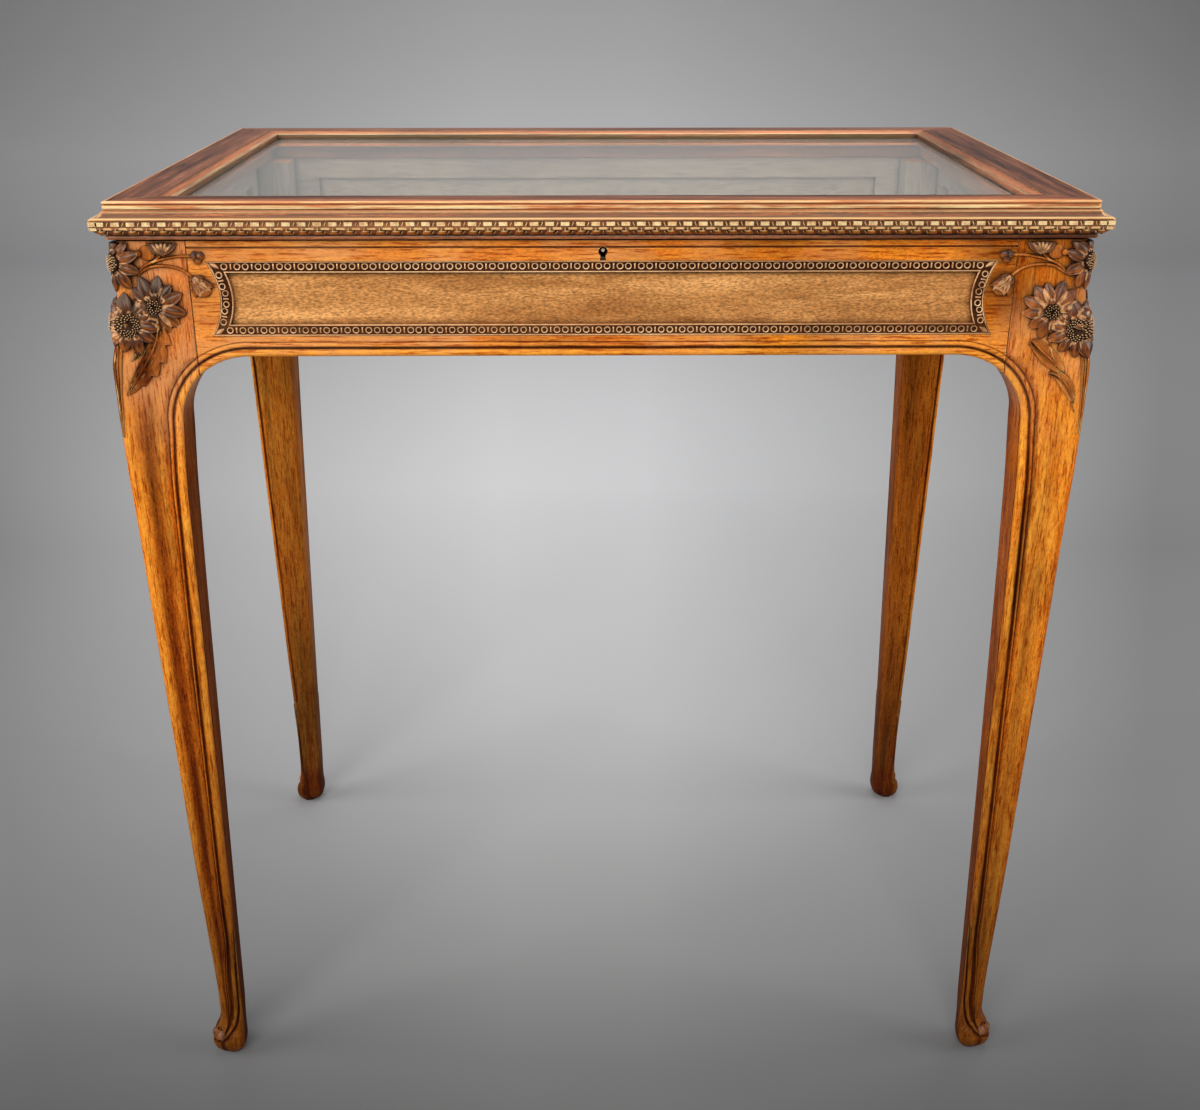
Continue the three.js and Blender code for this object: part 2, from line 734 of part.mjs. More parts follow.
function hingeLeaf(centre, upper) {
  const start = centre - hingeLength / 2;
  const plateLow = upper ? lidBottom : caseTop - leafThickness;
  const inner = pinBack - leafWidth;
  const end = start + hingeLength;
  const plate = boxBetween([start, inner, plateLow], [end, pinBack, plateLow + leafThickness]);
  const pitch = hingeLength / knuckleCount;
  const knuckles = [];
  const reliefs = [];
  for (let i = 0; i < knuckleCount; i++) {
    const from = start + i * pitch;
    const mine = (i % 2 === 1) === upper;
    if (mine) {
      const ends = [from + fitGap / 2, from + pitch - fitGap / 2];
      knuckles.push(rodAlongX(knuckleRadius, ...ends, pinBack, pinHeight));
    } else {
      const wide = knuckleRadius + fitGap;
      reliefs.push(boxBetween(
        [from - fitGap / 2, pinBack - wide, plateLow - overrun],
        [from + pitch + fitGap / 2, pinBack + overrun, plateLow + leafThickness + overrun],
      ));
    }
  }
  const boreEnds = [start - overrun, end + overrun];
  const bore = rodAlongX(pinRadius + pinClearance, ...boreEnds, pinBack, pinHeight);
  const solid = toGeometry(reliefs.reduce((body, cut) => body.subtract(toSolid(cut)), toSolid(plate)));
  return shapedBy(solid, { joins: knuckles, cuts: [bore] });
}

function hingePin(centre) {
  const start = centre - hingeLength / 2;
  const end = start + hingeLength;
  const shank = rodAlongX(pinRadius, start, end, pinBack, pinHeight);
  const head = (from, to) => rodAlongX(pinHeadRadius, from, to, pinBack, pinHeight);
  return shapedBy(shank, {
    joins: [head(start - pinHeadLength, start), head(end, end + pinHeadLength)],
  });
}

for (const [name, centre] of [["left", hingeCentres[0]], ["right", hingeCentres[1]]]) {
  addPiece(`hinge_lower_leaf_${name}`, hingeLeaf(centre, false), brass);
  addPiece(`hinge_upper_leaf_${name}`, hingeLeaf(centre, true), brass);
  addPiece(`hinge_pin_${name}`, hingePin(centre), brass);
}

// Box lock in the front apron, drawn like the apron with its outer face on Y = 0

const lockPlace = { y: -halfDepth };
const stapleMiddle = lockFront + lockDepth / 2;
const boltLow = lockLow + lockWall + fitGap;

function lockCase() {
  const low = [-lockHalfLength, lockFront, lockLow];
  const shell = boxBetween(low, [lockHalfLength, apronThickness, caseTop]);
  const hollow = boxBetween(
    [-lockHalfLength + lockWall, lockFront + lockWall, lockLow + lockWall],
    [lockHalfLength - lockWall, apronThickness + overrun, caseTop - selvedgeThickness],
  );
  const slots = [-1, 1].map((side) => {
    const centre = (side * stapleSpread) / 2;
    const wide = stapleThickness / 2 + looseGap;
    const deep = stapleWidth / 2 + looseGap;
    const under = caseTop - selvedgeThickness - overrun;
    const slotHigh = [centre + wide, stapleMiddle + deep, caseTop + overrun];
    return boxBetween([centre - wide, stapleMiddle - deep, under], slotHigh);
  });
  const keyway = keyhole(lockFront - overrun, lockFront + lockWall + overrun);
  return shapedBy(shell, { cuts: [hollow, ...slots, keyway] });
}

function lockCap() {
  const edge = lockWall + fitGap;
  const plate = boxBetween(
    [-lockHalfLength + edge, apronThickness - lockWall, lockLow + edge],
    [lockHalfLength - edge, apronThickness, caseTop - selvedgeThickness - fitGap],
  );
  const drillPin = rodAlongY(drillPinRadius, apronThickness - drillPinLength, apronThickness, 0, keyHeight);
  return shapedBy(plate, { joins: [drillPin] });
}

const fingerHigh = caseTop - selvedgeThickness - fitGap;
const fingerLow = fingerHigh - boltFingerHeight;

// Bolt plate: a bar along the bottom, with an upright and a finger for each staple
function lockBolt() {
  const staples = [-stapleSpread / 2, stapleSpread / 2].map((centre) => centre - stapleThickness / 2);
  const uprights = staples.map((edge) => edge - fitGap - boltThrow);
  const barTop = boltLow + boltBarHeight;
  const [farUpright, nearUpright] = uprights;
  const outline = [
    [farUpright - boltUprightWidth, boltLow],
    [nearUpright, boltLow],
    [nearUpright, fingerLow],
    [staples[1] - fitGap, fingerLow],
    [staples[1] - fitGap, fingerHigh],
    [nearUpright - boltUprightWidth, fingerHigh],
    [nearUpright - boltUprightWidth, barTop],
    [talonWidth / 2, barTop],
    [talonWidth / 2, barTop - talonDepth],
    [-talonWidth / 2, barTop - talonDepth],
    [-talonWidth / 2, barTop],
    [farUpright, barTop],
    [farUpright, fingerLow],
    [staples[0] - fitGap, fingerLow],
    [staples[0] - fitGap, fingerHigh],
    [farUpright - boltUprightWidth, fingerHigh],
  ];
  return slabAcross(outline, stapleMiddle - boltThickness / 2, stapleMiddle + boltThickness / 2);
}

// Link plate in the lid, with two staples that the bolt's fingers pass through
function linkPlate() {
  const plate = boxBetween(
    [-lockHalfLength, lockFront, lidBottom],
    [lockHalfLength, apronThickness, lidBottom + selvedgeThickness],
  );
  const staples = [];
  const eyes = [];
  for (const side of [-1, 1]) {
    const centre = (side * stapleSpread) / 2;
    const from = centre - stapleThickness / 2;
    const to = centre + stapleThickness / 2;
    staples.push(boxBetween(
      [from, stapleMiddle - stapleWidth / 2, caseTop - stapleDrop],
      [to, stapleMiddle + stapleWidth / 2, lidBottom + selvedgeThickness / 2],
    ));
    const eye = boltThickness / 2 + fitGap;
    eyes.push(boxBetween(
      [from - overrun, stapleMiddle - eye, fingerLow - fitGap],
      [to + overrun, stapleMiddle + eye, fingerHigh + fitGap],
    ));
  }
  return shapedBy(plate, { joins: staples, cuts: eyes });
}

addPiece("lock_case", lockCase(), steel, lockPlace);
addPiece("lock_cap", lockCap(), brass, lockPlace);
addPiece("lock_bolt", lockBolt(), steel, lockPlace);
addPiece("lock_link_plate", linkPlate(), brass, lockPlace);

export default table;
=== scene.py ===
# %% [markdown]
# # A collectors display table, finished in Blender
# The table is a shallow glazed case on four carved legs. Its joints, lid and lock come from the
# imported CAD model. This lesson adds what a solid model leaves out: fine mouldings, carving,
# ornament, screws and the finish of old waxed walnut.

# %% Load the frame
import math
import bmesh
import bpy
import numpy as np
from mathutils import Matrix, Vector


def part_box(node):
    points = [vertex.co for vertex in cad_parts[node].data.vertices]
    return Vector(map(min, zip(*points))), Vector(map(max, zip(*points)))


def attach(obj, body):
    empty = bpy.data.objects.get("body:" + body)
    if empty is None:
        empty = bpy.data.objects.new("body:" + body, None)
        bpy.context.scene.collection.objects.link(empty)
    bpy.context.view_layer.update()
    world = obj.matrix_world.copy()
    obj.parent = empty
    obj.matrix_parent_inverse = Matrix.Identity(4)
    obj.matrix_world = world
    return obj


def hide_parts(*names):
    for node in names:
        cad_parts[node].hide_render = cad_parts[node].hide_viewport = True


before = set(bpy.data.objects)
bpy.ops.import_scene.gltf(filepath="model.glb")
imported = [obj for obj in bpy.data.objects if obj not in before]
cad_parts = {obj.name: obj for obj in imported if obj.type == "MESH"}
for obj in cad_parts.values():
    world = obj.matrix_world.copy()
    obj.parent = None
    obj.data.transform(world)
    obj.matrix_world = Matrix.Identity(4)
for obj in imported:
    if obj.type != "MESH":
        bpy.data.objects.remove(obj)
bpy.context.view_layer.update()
MM = 0.001

# %% [markdown]
# ## The camera
# The photograph looks down on the table by about 23 degrees, from a little more than a metre away.
# Its vanishing lines give the lens and the place, so the camera is set from numbers, not by eye.

# %% Set the camera
def put(name, data):
    """Adds an object to the scene"""
    thing = bpy.data.objects.new(name, data)
    bpy.context.scene.collection.objects.link(thing)
    return thing

camera_data = bpy.data.cameras.new("camera")
camera_data.lens = 43.45
camera_data.sensor_width = 36
camera = put("camera", camera_data)
camera.location = (-0.013, -1.292, 0.948)
camera.rotation_euler = (math.radians(67.26), 0, math.radians(-0.58))
bpy.context.scene.camera = camera
print("lens", camera_data.lens, "mm")

# %% [markdown]
# ## Small helpers for node trees
# A few helpers keep the node trees readable. An output can be added and multiplied like a number.
# One function makes a group with named sockets, one adds a node and fills its sockets, and the
# others blend colours, map one range onto another, and fetch a noise.

# %% Helpers for node trees
class Value:
    """An output of a node, which can be written in sums"""
    def __init__(self, socket):
        self.socket = socket
    def __add__(self, other):
        return maths("ADD", self, other)
    def __sub__(self, other):
        return maths("SUBTRACT", self, other)
    def __rsub__(self, other):
        return maths("SUBTRACT", other, self)
    def __mul__(self, other):
        return maths("MULTIPLY", self, other)

class Node:
    """A node whose outputs are picked by name or number"""
    def __init__(self, node):
        self.node = node
    def __getitem__(self, key):
        return Value(self.node.outputs[key])

def feed(node, **values):
    """Fills sockets by name, with _ for a space, or by number as i0, i1"""
    for key, value in values.items():
        numbered = key[0] == "i" and key[1:].isdigit()
        socket = node.inputs[int(key[1:]) if numbered else key.replace("_", " ")]
        if isinstance(value, Value):
            node.id_data.links.new(value.socket, socket)
        else:
            socket.default_value = value

def add_node(tree, kind, settings=None, **values):
    node = tree.nodes.new(kind)
    for key, value in (settings or {}).items():
        setattr(node, key, value)
    feed(node, **values)
    return Node(node)

def new_group(name, inputs, outputs, kind="ShaderNodeTree"):
    tree = bpy.data.node_groups.new(name, kind)
    for label, socket, *value in inputs:
        made = tree.interface.new_socket(name=label, in_out="INPUT", socket_type="NodeSocket" + socket)
        if value:
            made.default_value = value[0]
    for label, socket in outputs:
        tree.interface.new_socket(name=label, in_out="OUTPUT", socket_type="NodeSocket" + socket)
    return tree, Node(tree.nodes.new("NodeGroupInput")), tree.nodes.new("NodeGroupOutput")

def new_material(name):
    material = bpy.data.materials.new(name)
    material.use_nodes = True
    return material, material.node_tree, material.node_tree.nodes["Principled BSDF"]

def tree_of(*values):
    return next(value.socket.id_data for value in values if isinstance(value, Value))

def maths(operation, first, second=0.0, clamp=False):
    return add_node(tree_of(first, second), "ShaderNodeMath", {"operation": operation, "use_clamp": clamp},
                    i0=first, i1=second)[0]

def size_of(value):
    return maths("ABSOLUTE", value)

def blend(factor, first, second, kind="MIX"):
    return add_node(tree_of(factor, first, second), "ShaderNodeMix",
                    {"data_type": "RGBA", "blend_type": kind}, i0=factor, i6=first, i7=second)[2]

def spread(value, low, high, to_low=0.0, to_high=1.0):
    return add_node(tree_of(value), "ShaderNodeMapRange", Value=value, From_Min=low, From_Max=high,
                    To_Min=to_low, To_Max=to_high)[0]

def noise(vector, scale, detail, roughness=0.5, **more):
    return add_node(tree_of(vector), "ShaderNodeTexNoise", Vector=vector, Scale=scale, Detail=detail,
                    Roughness=roughness, **more)["Fac"]

def object_place(tree):
    return add_node(tree, "ShaderNodeTexCoord")["Object"]

def split_axes(vector):
    return add_node(tree_of(vector), "ShaderNodeSeparateXYZ", Vector=vector)

def grey_colour(red, green, blue):
    return add_node(tree_of(red), "ShaderNodeCombineColor", Red=red, Green=green, Blue=blue)[0]

# %% [markdown]
# ## The studio
# A plain floor that curves up into a wall gives an even ground with no horizon. Four broad lamps
# light the front, the left, the right and the top. Large lamps leave soft edges on the shadows and
# long soft lights on the polish. Light is also painted on the floor and wall: a pool of light that
# grows darker towards the front, up the wall and to both sides. The paint of the wall falls off to
# both sides, like the photo's.

# %% Build the floor and the lamps
def backdrop_with_painted_light():
    material, tree, shader = new_material("backdrop with painted light")
    split = split_axes(object_place(tree))
    place = split["Y"]
    # Painted light: the grey is a pool of light in the middle, darker towards the front, up the wall and to
    # both sides.
    deep = spread(place, -0.5, 1.3, 0.166, 0.765)
    for limits in ((-0.3, -0.1, 0.74, 1.0), (1.3, 3.5, 1.0, 1.1), (4.3, 4.9, 1.0, 0.68)):
        deep = deep * spread(place, *limits)
    aside = maths("DIVIDE", split["X"], place + 1.5)
    wide = spread(size_of(aside + 0.015), 0.05, 0.4)
    fall = spread(place, -0.3, 1.0, 0.38, 0.66) - spread(place, 1.3, 3.2, 0.0, 0.24)
    grey = deep * (1.0 - wide * fall)
    feed(shader, Base_Color=grey_colour(grey, grey, grey * 1.01), Roughness=0.8, Specular_IOR_Level=0.2)
    return material

def make_floor():
    half, depth, rise, bend = 9.0, 5.0, 6.0, 1.5
    profile = [(-depth, 0.0)]
    for step in range(13):
        angle = math.pi / 2 * step / 12
        profile.append((depth - bend + bend * math.sin(angle), bend - bend * math.cos(angle)))
    profile.append((depth, rise))
    points = [(x, y, z) for y, z in profile for x in (-half, half)]
    faces = [(2 * i, 2 * i + 1, 2 * i + 3, 2 * i + 2) for i in range(len(profile) - 1)]
    mesh = bpy.data.meshes.new("floor")
    mesh.from_pydata(points, [], faces)
    mesh.shade_smooth()
    mesh.materials.append(backdrop_with_painted_light())
    floor = put("floor", mesh)

def lamp(name, place, aim_height, width, height, power, colour=(1, 1, 1)):
    data = bpy.data.lights.new(name, "AREA")
    data.shape = "RECTANGLE"
    data.size, data.size_y = width, height
    data.energy = power
    data.color = colour
    light = put(name, data)
    light.location = place
    light.rotation_euler = (Vector((0, 0, aim_height)) - Vector(place)).to_track_quat("-Z", "Y").to_euler()

make_floor()
lamp("front lamp", (-0.6, -3.0, 2.2), 0.5, 2.6, 1.8, 96, (1, 0.98, 0.95))
lamp("left lamp", (-2.8, -0.6, 1.5), 0.45, 1.6, 1.8, 40)
lamp("right lamp", (2.9, -0.4, 1.4), 0.45, 1.6, 1.8, 38)
lamp("top lamp", (0.2, 0.9, 3.2), 0.5, 2.4, 2.0, 40)
world = bpy.data.worlds.new("room")
bpy.context.scene.world = world
world.use_nodes = True
feed(world.node_tree.nodes["Background"], Color=(0.62, 0.63, 0.65, 1), Strength=0.38)
bpy.context.scene.view_settings.view_transform = "Standard"
print("floor, four lamps and a grey room")

# %% [markdown]
# ## Shader groups for old wood
# Three effects are shared by all the wood: the figure of the grain, painted shade with dark wax in the
# hollows and painted highlight with rubbing on the edges, and the bare inside of the case. Each is a
# node group with named sockets, built once, so that every wood can use it with its own colours. The
# groups give colours and masks only, and the shader itself stays in each material.

# %% [markdown]
# The grain is noise that is stretched along the board. Broad streaks carry the light and dark of
# the year rings, a finer noise makes the fibres, and a third, cut off sharply, leaves the short
# dark pores of walnut. The vector comes in already stretched, so that one group serves boards
# that lie in any direction.

# %% Grain group
def make_grain():
    tree, given, result = new_group("wood grain", [
        ("Vector", "Vector"), ("Light", "Color", (0.5, 0.3, 0.1, 1)),
        ("Middle", "Color", (0.3, 0.15, 0.05, 1)), ("Dark", "Color", (0.1, 0.05, 0.02, 1)),
        ("Streak Scale", "Float", 60.0), ("Pores", "Float", 0.5), ("Fine Vector", "Vector"),
        ("Fleck Scale", "Float", 650.0), ("Flecks", "Float", 0.5),
    ], [("Color", "Color"), ("Height", "Float"), ("Figure", "Float")])
    place, scale, dark = given["Vector"], given["Streak Scale"], given["Dark"]
    streaks = noise(place, scale, 5.0, 0.62, Distortion=0.6)
    clouds = noise(place, scale * 0.16, 2.0, Distortion=1.2)
    fibres = noise(place, scale * 9.0, 3.0, 0.7)
    figure = streaks * 0.6 + clouds * 0.4
    colour = blend(spread(figure, 0.38, 0.495), dark, given["Middle"])
    colour = blend(spread(figure, 0.505, 0.63), colour, given["Light"])
    pores = maths("MULTIPLY", spread(fibres, 0.45, 0.35), given["Pores"], clamp=True)
    colour = blend(pores, colour, dark)
    flecks = noise(given["Fine Vector"], given["Fleck Scale"], 2.0, 0.6)
    tone = spread(flecks, 0.32, 0.68, 0.55, 1.4)
    colour = blend(given["Flecks"], colour, blend(1.0, colour, grey_colour(tone, tone, tone), "MULTIPLY"))
    feed(result, Color=colour, Height=fibres + flecks * 0.4 - pores, Figure=figure)
    return tree

grain_group = make_grain()
print("made", grain_group.name)

# %% [markdown]
# Wax and dust gather where two faces meet, and hands rub the sharp edges; shade falls in the same
# hollows and light catches the same edges. Ambient occlusion finds both: rays sent outwards are
# stopped in a hollow, and rays sent inwards are short near an edge. The woods paint shade in the
# hollows and a highlight on the edges from these masks. A little noise breaks up both masks, because
# neither dirt nor wear is even.

# %% Hollow and edge group
def make_hollow_and_edge_masks():
    tree, given, result = new_group("hollows and edges", [
        ("Reach", "Float", 0.006), ("Edge Width", "Float", 0.0012),
        ("Hollow Strength", "Float", 1.0), ("Edge Strength", "Float", 0.5),
    ], [("Hollow", "Float"), ("Edge", "Float")])
    uneven = noise(object_place(tree), 90.0, 3.0, 0.6)
    outside = add_node(tree, "ShaderNodeAmbientOcclusion", {"samples": 4}, Distance=given["Reach"])
    inside = add_node(tree, "ShaderNodeAmbientOcclusion", {"samples": 4, "inside": True},
                      Distance=given["Edge Width"])
    hollow = spread(outside["AO"], 0.92, 0.42) * spread(uneven, 0.3, 0.7, 0.8, 1.15)
    edge = spread(inside["AO"], 0.75, 0.35) * spread(uneven, 0.38, 0.62, 0.25, 1.1)
    feed(result, Hollow=maths("MULTIPLY", hollow, given["Hollow Strength"], clamp=True),
         Edge=maths("MULTIPLY", edge, given["Edge Strength"], clamp=True))
    return tree

hollow_edge_group = make_hollow_and_edge_masks()
print("made", hollow_edge_group.name)

# %% [markdown]
# The inside of the case is bare pale wood, though it is the same boards as the outside. This group
# knows the case's walls by their place, and answers 1 on any face that lies inside them.

# %% Inside mask group
def make_inside():
    tree, given, result = new_group("inside of the case", [
        ("Half Width", "Float", 0.3436), ("Half Depth", "Float", 0.2136),
        ("Floor", "Float", 0.6645), ("Ceiling", "Float", 0.7505),
    ], [("Mask", "Float")])
    split = split_axes(object_place(tree))
    across = maths("LESS_THAN", size_of(split["X"]), given["Half Width"])
    along = maths("LESS_THAN", size_of(split["Y"]), given["Half Depth"])
    above = maths("GREATER_THAN", split["Z"], given["Floor"])
    below = maths("LESS_THAN", split["Z"], given["Ceiling"])
    feed(result, Mask=across * along * (above * below))
    return tree

inside_group = make_inside()
print("made", inside_group.name)

# %% [markdown]
# ## The woods
# All the walnut is made by one function. It stretches the pattern along the board, lays painted
# shade with dark wax in the hollows, paints a highlight on the rubbed edges, paints the highlight
# and shade that are marked on the legs and aprons, and turns pale inside the case. The polish is a
# thin coat over the wood, duller where the wax has gone. Colours are written as red, green and blue
# up to 255.

# %% Wood materials
def colour_of(red, green, blue):
    shares = (red / 255, green / 255, blue / 255)
    return (*(c / 12.92 if c <= 0.04045 else ((c + 0.055) / 1.055) ** 2.4 for c in shares), 1)

PALE_INSIDE, GREY_INSIDE = colour_of(172, 156, 140), colour_of(128, 112, 98)
SHADE_AND_JOINT_TONE, FIBRE_TONE, FIBRE_LIGHT = colour_of(62, 20, 6), colour_of(208, 160, 126), (1.08, 1.05, 1.02, 1)
FLAT_WIDE, FLAT_DEEP = 0.36, 0.23           # half the lid's flat top
JOINT_WIDE, JOINT_DEEP = 0.3049, 0.1749     # from the middle to the joints of aprons and legs

def place_group(tree, group, **values):
    return add_node(tree, "ShaderNodeGroup", {"node_tree": group}, **values)

def joint_lines(split):
    """Marks the dark lines where the aprons meet the legs"""
    wide, deep = size_of(split["X"]), size_of(split["Y"])
    found = []
    for place, joint, face, beyond in ((wide, JOINT_WIDE, deep, 0.2), (deep, JOINT_DEEP, wide, 0.33)):
        near = spread(size_of(place - joint), 0.0007, 0.0002)
        found.append(near * maths("GREATER_THAN", face, beyond))
    return maths("MAXIMUM", *found)

def painted_by_marks(colour, split, place, uneven, fibres, glow, paler_tone):
    """Paints the highlight and the shade that are marked on the legs and aprons; gives the colour and the
    gloom
    """
    highlight, gloom = (add_node(tree_of(place), "ShaderNodeAttribute", {"attribute_name": name})["Fac"]
                    for name in ("glow", "shade"))
    # Painted highlight where the marks say, broken by the grain.
    highlight = highlight * uneven
    cloud = noise(place, 16.0, 3.0, 0.55)
    # Paler in slow random patches and towards the left, on the upper parts only.
    high_up = spread(split["Z"], 0.56, 0.66)
    paler = spread(cloud, 0.44, 0.62, 0.0, 0.75) + spread(split["X"], 0.1, -0.25, 0.0, 0.5)
    colour = blend(highlight, blend(high_up * paler, colour, paler_tone), glow)
    # Painted shade and old wax darken the right ends of the aprons and the tops of the right posts.
    right_end_shade_and_wax = spread(split["X"], 0.255, 0.285, 0.0, 0.8) * spread(split["Z"], 0.675, 0.705)
    right_end_shade_and_wax = right_end_shade_and_wax * spread(split["X"], 0.322, 0.306, 0.45, 1.0) * spread(cloud, 0.35, 0.6, 0.6, 1.0)
    gloom = maths("MAXIMUM", gloom, right_end_shade_and_wax)
    # Painted shade where the marks say, and the dark joint lines, in one dark tone.
    colour = blend(maths("MAXIMUM", gloom * 0.85, joint_lines(split)), colour, SHADE_AND_JOINT_TONE)
    return blend(1.0, colour, blend(fibres, FIBRE_TONE, FIBRE_LIGHT), "MULTIPLY"), gloom

def painted_lid_lines(colour, lines, split, outside, long_way):
    """Paints thin stripes of highlight, sheen and shade on the lid's mouldings: from, to, colour, least
    cover, inner strip or not
    """
    height, fine = split["Z"], 0.0002
    for low, high, tone, least, *inner in lines:
        level = spread(height, low - 0.0003, low + fine) * spread(height, high + 0.0003, high - fine)
        patch = noise(long_way, 300.0 + 9000 * (high - low), 4.0, 0.75)
        level = level * spread(outside, *((-0.0225, -0.0235) if inner else (-0.0016, -0.0008)))
        # The painted stripes by the glass are dimmer on the right stile.
        if inner:
            level = level * spread(split["X"], 0.316, 0.31, 0.35, 1.0)
        colour = blend(level * spread(patch, 0.42, 0.58, least, 0.95), colour, tone)
    return colour

def wood(name, along, light, middle, dark, shade_and_dirt, rubbed_and_highlit, streaks=55.0, pores=0.5, reach=0.006, hollow=1.0,
         edge=0.5, edge_width=0.0012, roughness=(0.3, 0.5), coat=0.0, gloss=0.07, stretch=0.07, turned=0.0,
         lined=True, bump=0.12, flecks=0.5, fleck_scale=650.0, upper=None, under=None, proud=None, lines=(),
         glow=None, paler_tone=None, cloudy=0.6):
    tones = (light, middle, dark, shade_and_dirt, rubbed_and_highlit, upper, under, proud, glow, paler_tone)
    tones = [tone and colour_of(*tone) for tone in tones]
    light, middle, dark, shade_and_dirt, rubbed_and_highlit, upper, under, proud, glow, paler_tone = tones
    material, tree, shader = new_material(name)
    place = object_place(tree)
    split = split_axes(place)
    def stretched(amount):
        scale = [amount if axis == along else 1.0 for axis in "xyz"]
        return add_node(tree, "ShaderNodeMapping", Vector=place, Scale=scale,
                        Location=(len(name) * 0.37, 0.11, 0.23),
                        Rotation=(0, turned if along == "x" else 0, 0))[0]
    long_way = stretched(stretch)
    figure = place_group(tree, grain_group, Vector=long_way, Light=light, Middle=middle, Dark=dark,
                         Streak_Scale=streaks, Pores=pores, Fine_Vector=stretched(0.4),
                         Fleck_Scale=fleck_scale, Flecks=flecks)
    hollow_edge = place_group(tree, hollow_edge_group, Reach=reach, Edge_Width=edge_width, Hollow_Strength=hollow,
                      Edge_Strength=edge)
    colour, fibres = figure["Color"], spread(figure["Height"], 0.3, 0.8)
    if glow:
        broken, grainy = noise(long_way, 170.0, 4.0, 0.7), noise(stretched(0.3), 430.0, 2.0, 0.6)
        uneven = spread(broken, 0.36, 0.6, 0.4, 1.0) * spread(grainy, 0.36, 0.6, 0.55, 1.0)
        colour, gloom = painted_by_marks(colour, split, place, uneven, fibres, glow, paler_tone)
    if lined:
        pale = blend(0.12, blend(fibres, GREY_INSIDE, PALE_INSIDE), colour, "MULTIPLY")
        colour = blend(place_group(tree, inside_group)["Mask"], colour, pale)
    # Painted light: faces that look up are tinted greyer, like a sheen from above, and faces that look down
    # warmer, like a lit underside.
    if upper:
        facing = split_axes(add_node(tree, "ShaderNodeNewGeometry")["Normal"])["Z"]
        colour = blend(spread(facing, 0.0, 0.4, 0.0, 0.85), colour, upper)
        colour = blend(spread(facing, -0.05, -0.4, 0.0, 0.6), colour, under)
    if proud or lines:
        outside = maths("MAXIMUM", size_of(split["X"]) - FLAT_WIDE, size_of(split["Y"]) - FLAT_DEEP)
        colour = painted_lid_lines(colour, lines, split, outside, long_way)
    # Painted highlight with wear: the proudest faces of the carved band turn gold in patches.
    if proud:
        patch = spread(noise(place, 260.0, 3.0, 0.7), 0.35, 0.6, 0.35, 1.0)
        colour = blend(spread(outside, 0.0090, 0.0099) * patch, colour, proud)
    # Painted highlight, with rubbed wear, on the sharp edges; painted shade, with wax and dust, in the
    # hollows.
    colour = blend(hollow_edge["Edge"], colour, rubbed_and_highlit)
    colour = blend(hollow_edge["Hollow"], colour, shade_and_dirt)
    # Darker towards the floor, and in slow random clouds.
    wear = spread(noise(place, 7.0, 3.0, 0.6), 0.52, 0.74, 0.0, 0.5)
    dusk = maths("MAXIMUM", spread(split["Z"], 0.5, 0.12, 0.0, 0.95), wear)
    dusk = dusk + spread(split["Z"], 0.07, 0.025, 0.0, 0.1)
    colour = blend(dusk * cloudy, colour, shade_and_dirt)
    rough = spread(figure["Figure"], 0.35, 0.65, roughness[1], roughness[0])
    rough = maths("ADD", rough, hollow_edge["Hollow"] * 0.25, clamp=True)
    if glow:
        rough = maths("ADD", rough, gloom * 0.5, clamp=True)
    bumps = add_node(tree, "ShaderNodeBump", Height=figure["Height"], Strength=bump, Distance=0.0004)
    feed(shader, Base_Color=colour, Roughness=rough, Coat_Weight=coat, Coat_Roughness=0.25,
         Specular_IOR_Level=gloss, Specular_Tint=(1.0, 0.8, 0.6, 1), Normal=bumps[0])
    return material

WALNUT = dict(light=(255, 150, 34), middle=(212, 98, 9), dark=(98, 30, 1), shade_and_dirt=(40, 14, 5),
              rubbed_and_highlit=(255, 200, 112), glow=(255, 174, 62), paler_tone=(222, 150, 98), flecks=0.9,
              fleck_scale=850.0, edge=0.6, hollow=0.95, cloudy=0.8)
walnut_up = wood("walnut upright", "z", streaks=70.0, **WALNUT)
walnut_along = wood("walnut lengthwise", "x", **WALNUT)
walnut_across = wood("walnut crosswise", "y", **WALNUT)
TAN = dict(light=(238, 174, 106), middle=(203, 141, 80), dark=(160, 102, 52), shade_and_dirt=(50, 30, 16),
           rubbed_and_highlit=(190, 140, 84), streaks=60.0, pores=0.6, flecks=1.0, fleck_scale=850.0, stretch=0.16,
           edge=0.0, coat=0.05, cloudy=0.3, roughness=(0.38, 0.55), bump=0.2)
panel_along = wood("panel wood lengthwise", "x", turned=0.1, **TAN)
panel_across = wood("panel wood crosswise", "y", **TAN)
